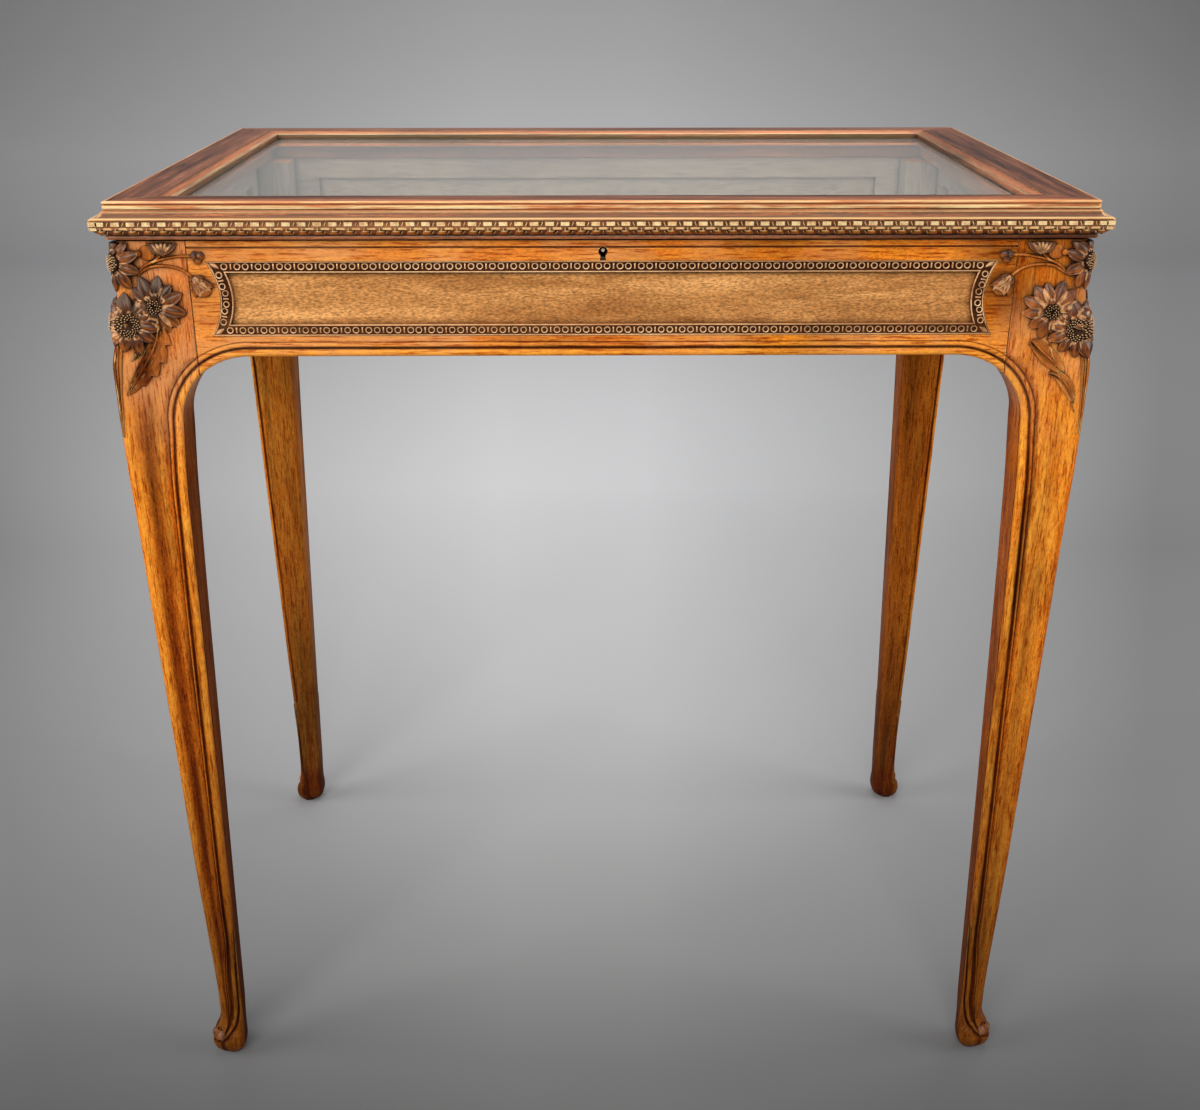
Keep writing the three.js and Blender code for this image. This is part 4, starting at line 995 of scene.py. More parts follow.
def mark_apron(mesh, joint):
    """Gives the bead and the upper strip their painted highlight, and the quirk and the upper groove their
    painted shade
    """
    x, y, z = points_of(mesh).T
    beyond = np.abs(x) - (joint - BRACKET_REACH)
    share = np.hypot(np.maximum(beyond, 0) / BRACKET_SPAN, (z - BRACKET_FOOT) / BRACKET_RISE)
    distance = np.where(beyond > 0, (share - 1) * BRACKET_MEAN, z - CASE_BOTTOM)
    front = (y < 3.3) & (z < 720)
    strip = front & (distance > 7.7) & (distance < 11.6)
    glow = np.where(front & (distance < 5.9), 1.0, np.where(strip, 0.7, 0.0))
    shade = np.where(front & (distance >= 5.9) & (distance < 7.5), 0.75, 0.0)
    # The plain flats get a painted highlight too, brighter in the upper half.
    flat, groove = (y < 0.05) & (glow == 0), (y > 0.9) & (y < 1.1) & (z > 740)
    mark_points(mesh, "glow", np.where(flat, np.where(z > 705, 0.55, 0.45), glow))
    mark_points(mesh, "shade", np.where(groove, 0.55, shade))

# %% Cut the four aprons
LIP_BELOW_TOP, GROOVE_HIGH = 4, 1.6   # the plain lip over the front's upper groove

def apron(side):
    joint = joint_of(side)
    half = joint - FIT
    edge = [(min(half, max(-half, x)), z) for x, z in underside(joint, 0, BRACKET_REACH)]
    blank = prism([(half, CASE_TOP), (-half, CASE_TOP)] + edge, 0, APRON_THICK)
    field_end = joint - CARTOUCHE_INSET - BAND_WIDE
    groove_top, behind = CASE_TOP - LIP_BELOW_TOP, APRON_THICK + PAST
    rebate_end = field_end + PANEL_LAP
    cutters = [
        prism(hollow_ended(joint - CARTOUCHE_INSET, BAND_LOW, BAND_TOP, CARTOUCHE_SAG), -PAST, BAND_DEEP),
        prism(hollow_ended(field_end, FIELD_LOW, FIELD_HIGH, FIELD_SAG), -PAST, behind),
        block((-rebate_end, PANEL_SINK, FIELD_LOW - PANEL_LAP), (rebate_end, behind, FIELD_HIGH + PANEL_LAP)),
        block((-joint - PAST, -PAST, groove_top - GROOVE_HIGH), (joint + PAST, 1.0, groove_top)),
        moulding_cutter(joint),
    ]
    if side == "front":
        cutters.append(keyhole(-PAST, LOCK_FRONT + 1))
        cutters.append(block((-LOCK_HALF - FIT, LOCK_FRONT - FIT, LOCK_LOW - FIT),
                             (LOCK_HALF + FIT, behind, CASE_TOP + PAST)))
    if side == "back":
        for centre in HINGE_CENTRES:
            low = (centre - HINGE_LONG / 2 - FIT, -PAST, CASE_TOP - LEAF_THICK - FIT)
            high = (centre + HINGE_LONG / 2 + FIT, HALF_DEPTH - PIN_Y + LEAF_WIDE + FIT, CASE_TOP + PAST)
            cutters.append(block(low, high))
    made = cut(blank, cutters)
    mark_apron(made, joint)
    return turn_mesh(made, side)

for side in SIDES:
    woods = [walnut_along if is_long(side) else walnut_across, stained_wood]
    piece = show(f"moulded_apron_{side}", apron(side), woods, [f"apron_{side}"], arris=28)
    axis, half = (1, HALF_DEPTH) if is_long(side) else (0, HALF_WIDTH)
    for face in piece.data.polygons:
        if abs(half - abs(face.center[axis]) / MM - BAND_DEEP) < 0.02:
            face.material_index = 1

# %% [markdown]
# ## Geometry Nodes: a motif along a line
# The cartouche has a border of rings and bars, and the lid has a band of small blocks. Both are one
# motif repeated along a line, so one tree makes both. It takes the drawn lines, spaces points along
# each of them, turns the motif to follow the line, and bakes the copies into real mesh. The lines
# are drawn flat, with X and Y in the face and Z standing out of it.

# %% Tree: motifs along lines
NODES = "GeometryNodeTree"

def chance(tree, low, high, seed):
    return add_node(tree, "FunctionNodeRandomValue", {"data_type": "FLOAT"}, i2=low, i3=high, Seed=seed)[1]

def real_copies(copies):
    return add_node(tree_of(copies), "GeometryNodeRealizeInstances", Geometry=copies)[0]

def copies_on(points, thing, **more):
    shape = add_node(tree_of(points), "GeometryNodeObjectInfo", Object=thing)["Geometry"]
    return add_node(tree_of(points), "GeometryNodeInstanceOnPoints", Points=points, Instance=shape, **more)[0]

def vector_of(**axes):
    return add_node(tree_of(*axes.values()), "ShaderNodeCombineXYZ", **axes)[0]

def facing(tree, direction):
    return add_node(tree, "FunctionNodeAlignRotationToVector", {"axis": "X", "pivot_axis": "Z"},
                    Vector=direction)[0]

def make_motif_tree():
    tree, given, result = new_group("motifs along lines", [
        ("Geometry", "Geometry"), ("Motif", "Object"), ("Spacing", "Float", 0.0154),
        ("Size Spread", "Float", 0.04), ("Seed", "Int", 1), ("Material", "Material"),
    ], [("Geometry", "Geometry")], NODES)
    curve = add_node(tree, "GeometryNodeMeshToCurve", Mesh=given["Geometry"])[0]
    spaced = add_node(tree, "GeometryNodeResampleCurve", {"mode": "LENGTH"}, Curve=curve,
                      Length=given["Spacing"])[0]
    turned = facing(tree, add_node(tree, "GeometryNodeInputTangent")[0])
    size = chance(tree, 1.0 - given["Size Spread"], maths("ADD", 1.0, given["Size Spread"]), given["Seed"])
    copies = copies_on(spaced, given["Motif"], Rotation=turned, Scale=size)
    dressed = add_node(tree, "GeometryNodeSetMaterial", Geometry=real_copies(copies),
                       Material=given["Material"])[0]
    feed(result, Geometry=dressed)
    return tree

def run_tree(tree, base, **values):
    carrier = put("carrier", base)
    step = carrier.modifiers.new("nodes", "NODES")
    step.node_group = tree
    for item in tree.interface.items_tree:
        label = item.name.replace(" ", "_")
        if item.item_type == "SOCKET" and item.in_out == "INPUT" and label in values:
            step[item.identifier] = values[label]
    made = baked(carrier)
    carrier.modifiers.clear()
    take_away(carrier)
    return made

def flat_mesh(name, points, edges=()):
    mesh = bpy.data.meshes.new(name)
    mesh.from_pydata([(x * MM, y * MM, 0.0) for x, y in points], edges, [])
    return mesh

def lines_mesh(lines):
    points, edges = [], []
    for line in lines:
        edges += [(i, i + 1) for i in range(len(points), len(points) + len(line) - 1)]
        points += line
    return flat_mesh("lines", points, edges)

motif_tree = make_motif_tree()
print("tree:", motif_tree.name, len(motif_tree.nodes), "nodes")

# %% [markdown]
# ## The border of rings and bars
# One motif is a bar with a ring on either side. Repeated, it reads bar, two rings, bar. The rings
# are small tori of few faces, because there are hundreds. Thin raised fillets close the border on
# both sides, and a spear-shaped leaf fills each of its sharp corners.

# %% Ring and bar motif
def ring_faces(x0, radius, thick, high, around=16, across=5):
    rings = []
    for turn in round_angles(around):
        ring = []
        for t in round_angles(across):
            r = radius + thick * math.cos(t)
            ring.append((x0 + r * math.cos(turn), r * math.sin(turn), high * (0.3 + 0.7 * math.sin(t))))
        rings.append(ring)
    return skin(rings + [rings[0]], capped=False)

def tapered_block(x0, y0, half_x, half_y, low, high, taper=0.6, lean=0.0):
    base = [(-half_x, -half_y), (half_x, -half_y), (half_x, half_y), (-half_x, half_y)]
    levels = [(low, 1.0), (low + 0.65 * (high - low), 0.94), (high, taper)]
    rings = [[(x0 + x * f + lean * y / max(half_y, 0.01), y0 + y * f, z) for x, y in base] for z, f in levels]
    return skin(rings)

def ring_motif(name, off):
    pieces = [ring_faces(x0, 2.15, 0.52, 1.15) for x0 in (-off, off)]
    pieces.append(tapered_block(0, 0, 0.6, 2.1, -0.4, 0.95, 0.5))
    return put(name, outward(mesh_from(name, *gather(pieces))))

row_motif, end_motif = ring_motif("ring motif", 4.7), ring_motif("ring motif for ends", 4.2)

# %% Border of each cartouche
def unit(lines):
    return lines / np.linalg.norm(lines, axis=1)[:, None]

def swept_fillet(outline, wide, high):
    section = [(-0.5, -0.3), (-0.36, 0.7), (-0.12, 1.0), (0.12, 1.0), (0.36, 0.7), (0.5, -0.3)]
    flat = np.array(outline, float)
    ahead, behind = unit(np.roll(flat, -1, 0) - flat), unit(flat - np.roll(flat, 1, 0))
    normal_a, normal_b = [np.stack([way[:, 1], -way[:, 0]], 1) for way in (ahead, behind)]
    normal = normal_a + normal_b
    normal /= np.maximum(0.55, (normal * normal_a).sum(1))[:, None]
    rings = [[(p[0] + n[0] * wide * s, p[1] + n[1] * wide * s, high * h) for s, h in section]
             for p, n in zip(flat, normal)]
    return skin(rings + [rings[0]], capped=False)

def border_outline(joint, t):
    sag = CARTOUCHE_SAG + (FIELD_SAG - CARTOUCHE_SAG) * t
    return hollow_ended(joint - CARTOUCHE_INSET - BAND_WIDE * t, BAND_LOW + BAND_HIGH * t,
                        BAND_TOP - BAND_HIGH * t, sag)

def spear(x0, z0, x1, z1):
    length = math.hypot(x1 - x0, z1 - z0)
    ux, uz = (x1 - x0) / length, (z1 - z0) / length
    rings = []
    for t in np.linspace(0, 1, 9):
        wide = 1.75 * math.sin(math.pi * t ** 0.8) ** 0.8 + 0.02
        ridge = 0.25 + 1.0 * math.sin(math.pi * t) ** 0.7
        x, z = x0 + ux * length * t, z0 + uz * length * t
        rings.append([(x - uz * wide * s, z + ux * wide * s, h)
                      for s, h in ((-1, -0.4), (-0.8, 0.25), (0, ridge), (0.8, 0.25), (1, -0.4))])
    return skin(rings)

ROW_SHORT, ROW_HEIGHTS, END_IN, END_MIDDLE, END_RISE = 18.3, (732.1, 684.4), 25.6, 708.2, 14.5
SPEARS = ((15.6, 734.8, 22.6, 730.6), (15.0, 681.2, 22.2, 685.6))

def border(side):
    joint = joint_of(side)
    row = joint - CARTOUCHE_INSET - ROW_SHORT
    rows = [[(-row, z), (row, z)] for z in ROW_HEIGHTS]
    arcs = [[(sign * (joint - END_IN + 2.6 * (t * t)), END_MIDDLE + END_RISE * t * 0.92)
             for t in np.linspace(-1, 1, 13)]
            for sign in (-1, 1)]
    motifs = [run_tree(motif_tree, lines_mesh(lines), Motif=motif, Spacing=spacing, Size_Spread=0.03,
                       Seed=seed, Material=border_wood)
              for lines, motif, spacing, seed in ((rows, row_motif, 0.0154, 3), (arcs, end_motif, 0.0134, 4))]
    spears = [spear(sx * (joint - x0), z0, sx * (joint - x1), z1)
              for sx in (-1, 1) for x0, z0, x1, z1 in SPEARS]
    fillets = [swept_fillet(border_outline(joint, 0.07), 1.3, 1.2),
               swept_fillet(border_outline(joint, 0.95), 1.0, 0.9)]
    mesh = join_meshes(motifs + [mesh_from("fillets", *gather(fillets + spears))])
    points = points_of(mesh)
    flat = np.stack([points[:, 0], BAND_DEEP - points[:, 2], points[:, 1]], 1)
    show(f"ring_border_{side}", outward(move_points(mesh, to_side(flat, side))), [border_wood], arris=50)

for side in SIDES:
    border(side)
take_away(row_motif, end_motif)

# %% [markdown]
# ## The lid
# The lid is four moulded bars, mitred like a picture frame. Its moulding steps out from a worn
# fascia through a hollow to a carved band, and goes back in over a round to a small bead. Each bar
# is one profile drawn between two mitres. A thin strip inside the flat runs down to the glass.

# %% Profile of the lid
LID_TOP, LID_LOW, LID_HALF_WIDTH, LID_HALF_DEPTH = 780.0, 752.5, 360.0, 230.0
RAIL_FLAT, STILE_FLAT, STRIP, GLASS_DROP, GLASS_LAP = 25.0, 34.0, 8.5, 6.8, 6.0
LID_LINE = [(-1.5, 752.5), (0.4, 752.6), (1.0, 753.2), (1.3, 754.2), (1.0, 755.2), (0.5, 755.5), (0.6, 755.9),
            (2.0, 756.6), (4.2, 757.4), (6.2, 758.6), (7.8, 760.0), (8.6, 760.8), (8.8, 761.2), (8.8, 766.9),
            (9.5, 767.1), (9.6, 767.9), (9.0, 768.6), (7.6, 768.8), (6.0, 769.0), (4.6, 769.5), (3.4, 770.3),
            (2.7, 771.2), (2.4, 771.9), (2.5, 772.5), (1.9, 772.9), (1.3, 773.1), (1.2, 773.7), (0.3, 773.9),
            (0.8, 774.4), (1.0, 775.6), (0.9, 777.0), (0.1, 777.9), (0.9, 778.3), (1.1, 779.0), (0.8, 779.7),
            (-0.4, 780.0)]
STRIP_LINE = [(-0.11, 0), (-0.09, 0.07), (-0.03, 0.07), (0, 0.01), (0.1, 0.12), (0.74, 0.42), (0.77, 0.46),
              (0.8, 0.4), (0.86, 0.36), (0.93, 0.4), (0.98, 0.5), (1, 0.66), (1, 1)]

def lid_profile(flat):
    strip = [(-flat - inward * STRIP, LID_TOP - drop * GLASS_DROP) for inward, drop in STRIP_LINE]
    rebate = -flat - STRIP + GLASS_LAP + FIT
    return LID_LINE + strip + [(rebate, LID_TOP - GLASS_DROP), (rebate, LID_LOW)]

def on_lid(side):
    turn, _ = SIDES[side]
    half = LID_HALF_DEPTH if is_long(side) else LID_HALF_WIDTH
    return turn, (half * math.sin(turn), -half * math.cos(turn))

# %% Mitre the bars
def mitred_bar(profile, other, half_span):
    return solid("bar", [[(s * (half_span + o[0] - FIT / 2), -p[0], p[1]) for p, o in zip(profile, other)]
                         for s in (-1, 1)])

def rod(x0, x1, y, z, radius, around=24):
    return solid("rod", [[(x, y + radius * math.cos(t), z + radius * math.sin(t))
                          for t in round_angles(around)]
                         for x in (x0, x1)])

rail_line, stile_line = lid_profile(RAIL_FLAT), lid_profile(STILE_FLAT)
for side in SIDES:
    own, other = (rail_line, stile_line) if is_long(side) else (stile_line, rail_line)
    bar = mitred_bar(own, other, LID_HALF_WIDTH if is_long(side) else LID_HALF_DEPTH)
    if side == "back":
        line = LID_HALF_DEPTH - PIN_Y
        for centre in HINGE_CENTRES:
            low, high = centre - HINGE_LONG / 2 - FIT, centre + HINGE_LONG / 2 + FIT
            leaf_bed = block((low, -10, LID_LOW - PAST),
                             (high, line + LEAF_WIDE + FIT, LID_LOW + LEAF_THICK + FIT))
            bar = cut(bar, [leaf_bed, rod(low - 1.2, high + 1.2, line, PIN_Z, KNUCKLE + 0.6)])
    if side == "front":
        front = LID_HALF_DEPTH - HALF_DEPTH + LOCK_FRONT
        bar = cut(bar, [block((-LOCK_HALF - FIT, front - FIT, LID_LOW - PAST),
                              (LOCK_HALF + FIT, front + LOCK_THICK + FIT, LID_LOW + LEAF_THICK + FIT))])
    name = f"lid_rail_{side}" if is_long(side) else f"lid_stile_{side}"
    finish = [lid_along if is_long(side) else lid_across]
    show("moulded_" + name, turn_mesh(bar, on_lid(side)), finish, [name], arris=32, body="lid")

# %% [markdown]
# ## The carved band
# Round the lid runs a band of small square blocks. A wide block stands over each notch of a lower
# bar, a thin stroke leans between the blocks, and a rope of slanted beads lies under them on the
# round. The strokes lean towards the middle from both ends, so two mirrored motifs are used.

# %% Band motif
ROPE_ACROSS = ((-1, -0.8), (-0.9, 0.2), (-0.5, 1.0), (0, 1.3), (0.5, 1.0), (0.9, 0.2), (1, -0.8))
STROKE_ACROSS = ((-1, 0.0), (-0.7, 1.3), (0.7, 1.3), (1, 0.0))

def rope_bead(x0, half_x, lean):
    rings = []
    for y, reach in ((0.3, -0.3), (-0.7, -0.7), (-1.9, -2.2), (-2.9, -4.2), (-3.7, -6.4)):
        shift = x0 + lean * y
        rings.append([(shift + half_x * s, y, reach + lift) for s, lift in ROPE_ACROSS])
    return skin(rings)

def rope_stroke(x0, lean):
    rings = []
    for y, reach, wide in ((0.0, -0.2, 0.3), (-1.0, -0.8, 0.5), (-2.1, -2.4, 0.5), (-3.1, -4.4, 0.25)):
        shift = x0 + lean * y * 1.25
        rings.append([(shift + wide * s, y, reach + lift) for s, lift in STROKE_ACROSS])
    return skin(rings)

# Half width, half height, lowest and highest level and taper of each block of the band
WIDE_BLOCK, STROKE = (3.45, 1.65, -0.6, 1.2, 0.86), (0.5, 1.6, -0.6, 0.75, 0.6)
LOWER_BAR, PEG = (3.6, 0.95, -0.8, 0.6, 0.8), (0.6, 1.4, -1.2, 0.5, 0.5)
CORNER_BLOCKS = ((4.9, 5.1, 3.2, 1.75, -0.6, 1.2, 0.95), (4.6, 1.6, 2.9, 1.3, -1.6, 1.0, 0.8))
BAND_START, BAND_PITCH, BAND_HEIGHT, BAND_OUT, BAND_PAST = 16.28, 0.01085, 760.0, 8.8, 1.5

def band_motif(way):
    pieces = [tapered_block(0, 5.1, *WIDE_BLOCK), tapered_block(way * 5.45, 4.9, *STROKE, lean=0.45 * way),
              tapered_block(way * 5.45, 1.8, *LOWER_BAR), tapered_block(0, 1.0, *PEG),
              rope_bead(way * 1.0, 3.2, 0.45 * way), rope_stroke(way * 5.6, 0.5 * way)]
    return put("band motif", outward(mesh_from("band motif", *gather(pieces))))

def lay_band(mesh, side):
    points = points_of(mesh)
    level = np.minimum(points[:, 2], 1.18)
    flat = np.stack([points[:, 0], -BAND_OUT - level, BAND_HEIGHT + points[:, 1]], 1)
    return outward(move_points(mesh, to_side(flat, on_lid(side))))

motifs = {way: band_motif(way) for way in (1, -1)}
for side in SIDES:
    half = (LID_HALF_WIDTH if is_long(side) else LID_HALF_DEPTH) + BAND_PAST
    runs = []
    for way, motif in motifs.items():
        line = sorted([(-way * half, 0), (-way * BAND_START, 0)])
        runs.append(run_tree(motif_tree, lines_mesh([line]), Motif=motif, Spacing=BAND_PITCH, Size_Spread=0.0,
                             Material=band_wood))
    ends = [tapered_block(0, 1.8, *LOWER_BAR), tapered_block(0, 4.9, *STROKE), rope_stroke(0, 0)]
    for s in (-1, 1):
        ends += [tapered_block(s * 5.43, 5.1, *WIDE_BLOCK), tapered_block(s * 5.43, 1.0, *PEG),
                 rope_bead(s * 4.6, 3.4, -0.45 * s)]
        ends += [tapered_block(s * (half + past), *shape) for past, *shape in CORNER_BLOCKS]
    mesh = lay_band(join_meshes(runs + [mesh_from("ends", *gather(ends))]), side)
    show(f"carved_band_{side}", mesh, [band_wood], arris=40, body="lid")
take_away(*motifs.values())

# %% [markdown]
# ## Carving on the knees
# Daisies, buds and a saw-edged leaf are carved on the two outer faces of each leg, and one daisy
# turns round the corner. A carver draws them flat on the wood first. So they are drawn flat here,
# as distance from the corner, height, and lift, and then bent round the leg. Every petal is solid
# down to the ground, as in real relief carving, so the light, the painted shade and the dirt fall
# between them. The right legs have two plain leaves where the left ones have one with a saw edge.

# %% Map of the leg's surface
MAP_LOW, MAP_STEP, MAP_REACH = 590.0, 1.5, 90.0
map_heights = np.arange(MAP_LOW, CASE_TOP + 0.1, MAP_STEP)
map_places = np.arange(0, MAP_REACH, 0.5)

def surface_row(height):
    half = np.array(leg_half(height))
    edge = min(POST, edge_at(height, BEAD + QUIRK + STRIP_WIDE + 0.8))
    stop = next(i for i, p in enumerate(half) if p[0] >= edge - 0.01)
    line = half[:stop + 1]
    line = np.vstack([line, [line[-1][0] + MAP_REACH, line[-1][1] if line[-1][0] < POST - 1 else 0.0]])
    travelled = np.concatenate([[0], np.cumsum(np.linalg.norm(np.diff(line, axis=0), axis=1))])
    a, b = np.interp(map_places, travelled, line[:, 0]), np.interp(map_places, travelled, line[:, 1])
    return a, b, travelled[8] - half[8][0]

rows = [surface_row(height) for height in map_heights]
map_a, map_b = np.array([r[0] for r in rows]), np.array([r[1] for r in rows])
corner_offset = np.array([r[2] for r in rows])
fan = np.pad(np.stack([map_a, map_b], 2), ((0, 0), (6, 6), (0, 0)), mode="edge")
fan[:, :6] = np.stack([map_b[:, 6:0:-1], map_a[:, 6:0:-1]], 2)
slope = fan[:, 12:] - fan[:, :-12]
slope /= np.maximum(np.linalg.norm(slope, axis=2), 1e-6)[:, :, None]
map_na, map_nb = slope[:, :, 1], -slope[:, :, 0]

def from_corner(a, z):
    return a + np.interp(z, map_heights, corner_offset)

def bend(points, side_x, side_y):
    s, z, h = points[:, 0], points[:, 1], points[:, 2]
    row = np.clip((z - MAP_LOW) / MAP_STEP, 0, len(map_heights) - 1.001)
    column = np.clip(np.abs(s) / 0.5, 0, len(map_places) - 1.001)
    r, c = row.astype(int), column.astype(int)
    fr, fc = row - r, column - c
    def look(table):
        top = table[r, c] * (1 - fc) + table[r, c + 1] * fc
        return top * (1 - fr) + (table[r + 1, c] * (1 - fc) + table[r + 1, c + 1] * fc) * fr
    a, b, na, nb = look(map_a), look(map_b), look(map_na), look(map_nb)
    a, b = a + na * h, b + nb * h
    other = s < 0
    a, b = np.where(other, b, a), np.where(other, a, b)
    return in_place(a, b, z, side_x, side_y)

FURTHEST, EASE = 11.6, 1.35   # how far the carving may stand out, and over what length it is eased
BACK_FREE = 743               # above this the back's carving leaves room for the opening lid

def in_place(a, b, z, side_x, side_y):
    a, b = [np.where(out < -FURTHEST, -FURTHEST - EASE * (1 - np.exp((out + FURTHEST) / EASE)), out)
            for out in (a, b)]
    if side_y > 0:
        b = np.maximum(b, np.where(z > BACK_FREE, -8.2 - 0.45 * (750.8 - z), -12.9))
    return np.stack(at_corner(a, b, z, side_x, side_y), 1)

face_levels = [leg_half(height)[8][1] for height in map_heights]

def bend_round(points, side_x, side_y, radius=9.0, level=5.5):
    s, z, h = points[:, 0], points[:, 1], points[:, 2]
    face = np.interp(z, map_heights, face_levels)
    angle = np.clip(s / (radius + level), -math.pi / 4, math.pi / 4)
    past = np.abs(s) - np.abs(angle) * (radius + level)
    centre = radius + face
    a = centre - (radius + h) * np.sin(math.pi / 4 - angle) + np.where(s > 0, past, 0)
    b = centre - (radius + h) * np.sin(math.pi / 4 + angle) + np.where(s < 0, past, 0)
    return in_place(a, b, z, side_x, side_y)

print("surface map:", map_a.shape)

# %% [markdown]
# A petal is a pointed oval with a raised midrib and slightly raised edges. A daisy is two rings of
# petals round a seed disc. The rings come from a Geometry Nodes tree that turns each copy outwards
# and varies its size. The seeds come from a second tree, which sets them by the golden angle, the
# way they grow.

# %% Petal, seed and disc
PETAL_ACROSS = [(-1, 0.0), (-0.88, 0.6), (-0.66, 0.2), (-0.33, 0.35), (-0.1, 0.75), (0, 0.95), (0.1, 0.75),
                (0.33, 0.35), (0.66, 0.2), (0.88, 0.6), (1, 0.0)]

def petal_points(length, wide, lift, relief=0.5, tip_drop=0.35, slope=0.4, floor=-1.0, base=0.3, stations=10):
    rings = []
    for u in np.linspace(0, 1, stations):
        if u < 0.5:
            spread_out = base + (1 - base) * math.sin(math.pi / 2 * min(1, u / 0.5))
        else:
            spread_out = math.cos(math.pi / 2 * (u - 0.5) / 0.5) ** 0.66
        half = max(0.02, wide / 2 * spread_out)
        arch = 0.75 + 0.25 * math.sin(math.pi * min(1, u * 1.1)) - slope * u ** 1.6
        top = lift * arch * (1 - tip_drop * max(0, (u - 0.7) / 0.3) ** 2)
        fade = 0.35 + 0.65 * math.sin(math.pi * min(1, u * 1.05 + 0.05))
        upper = [(u * length, half * v, top + relief * h * fade) for v, h in PETAL_ACROSS]
        rings.append([(u * length, -half, floor)] + upper + [(u * length, half, floor)])
    return skin(rings)

def seed_rings(radius, high, around=6):
    return turned_rings(radius, ((1.0, -0.4 * high), (0.85, 0.5 * high), (0.35, high)), around)

def disc_rings(radius, high, around=40, floor=-1.0):
    return turned_rings(radius, [(1.0, floor), (1.0, high - 0.9), (0.95, high - 0.35), (0.82, high),
                                 (0.6, high), (0.42, high - 0.4), (0.32, high - 1.2), (0.12, high - 1.4)],
                        around)

# %% Trees for petals and seeds
GOLDEN_ANGLE = 2.399963

def make_petal_tree():
    tree, given, result = new_group("ring of petals", [
        ("Geometry", "Geometry"), ("Petal", "Object"), ("Count", "Int", 12), ("Radius", "Float", 0.005),
        ("Turn", "Float", 0.0), ("Size Spread", "Float", 0.12), ("Sway", "Float", 0.12),
        ("Tilt", "Float", 0.07), ("Seed", "Int", 1),
    ], [("Geometry", "Geometry")], NODES)
    circle = add_node(tree, "GeometryNodeMeshCircle", Vertices=given["Count"], Radius=given["Radius"])[0]
    turned = add_node(tree, "GeometryNodeTransform", Geometry=circle, Rotation=vector_of(Z=given["Turn"]))[0]
    face_out = facing(tree, add_node(tree, "GeometryNodeInputPosition")[0])
    seed, unlike = given["Seed"], given["Size Spread"]
    size = chance(tree, 1.0 - unlike, maths("ADD", 1.0, unlike), seed)
    copies = copies_on(turned, given["Petal"], Rotation=face_out, Scale=size)
    sway = chance(tree, given["Sway"] * -1.0, given["Sway"], seed + 7.0)
    tilt = chance(tree, given["Tilt"] * -1.0, given["Tilt"], seed + 11.0)
    swayed = add_node(tree, "GeometryNodeRotateInstances", Instances=copies,
                      Rotation=vector_of(Y=tilt, Z=sway))[0]
    feed(result, Geometry=real_copies(swayed))
    return tree

def make_seed_tree():
    tree, given, result = new_group("seeds by the golden angle", [
        ("Geometry", "Geometry"), ("Seed Shape", "Object"), ("Count", "Int", 90), ("First", "Int", 16),
        ("Pitch", "Float", 0.0008), ("Rise", "Float", 0.005), ("Dome", "Float", 20.0),
    ], [("Geometry", "Geometry")], NODES)
    number = add_node(tree, "GeometryNodeInputIndex")[0] + given["First"]
    angle = number * GOLDEN_ANGLE
    radius = maths("SQRT", number) * given["Pitch"]
    drop = radius * radius * given["Dome"]
    spot = vector_of(X=radius * maths("COSINE", angle), Y=radius * maths("SINE", angle),
                     Z=given["Rise"] - drop)
    points = add_node(tree, "GeometryNodePoints", Count=given["Count"], Position=spot)[0]
    feed(result, Geometry=real_copies(copies_on(points, given["Seed Shape"])))
    return tree

petal_tree, seed_tree = make_petal_tree(), make_seed_tree()

def grown(tree, base, label, shape, **values):
    """Runs a tree on a shape that is only lent to it; gives points in millimetres, and faces"""
    lent = put("lent shape", shape)
    mesh = run_tree(tree, base, **{label: lent}, **values)
    take_away(lent)
    return points_of(mesh), [tuple(p.vertices) for p in mesh.polygons]

def petal_ring(length, wide, lift, count, radius, turn, seed, relief=0.5, tip_drop=0.35, slope=0.4):
    shape = mesh_from("petal", *petal_points(length, wide, lift, relief, tip_drop, slope))
    return grown(petal_tree, flat_mesh("none", []), "Petal", shape, Count=count, Radius=radius * MM,
                 Turn=turn, Size_Spread=0.12, Sway=0.14, Seed=seed)

def seeds_on(radius, high, count, first, seed_radius):
    shape = mesh_from("seed", *skin(seed_rings(seed_radius, 1.2)))
    pitch = radius * 0.95 / math.sqrt(count + first)
    return grown(seed_tree, flat_mesh("none", []), "Seed_Shape", shape, Count=count, First=first,
                 Pitch=pitch * MM, Rise=high * MM, Dome=0.0)

def moved(piece, x, z, turn=0.0, flat=1.0, lean=(0.0, 0.0)):
    points, faces = np.array(piece[0], float), piece[1]
    c, s = math.cos(turn), math.sin(turn)
    u, v = points[:, 0] * c - points[:, 1] * s, (points[:, 0] * s + points[:, 1] * c) * flat
    h = points[:, 2] + np.where(points[:, 2] > 0, lean[0] * u + lean[1] * v, 0)
    return np.stack([x + u, z + v, h], 1), faces

# %% Daisies
# Each daisy on the flat drawing, and its heart: x, z, lean, radius, height, seeds, first seed, seed size
HEARTS = {"main": (5.7, 690.6, (-0.02, 0.0), 8.8, 4.9, 58, 13, 0.5),
          "second": (25.5, 703.8, (0.02, 0.03), 5.6, 4.8, 26, 3, 0.46),
          "corner": (0.0, 735.6, (0.0, 0.0), 6.6, 6.8, 36, 3, 0.48)}
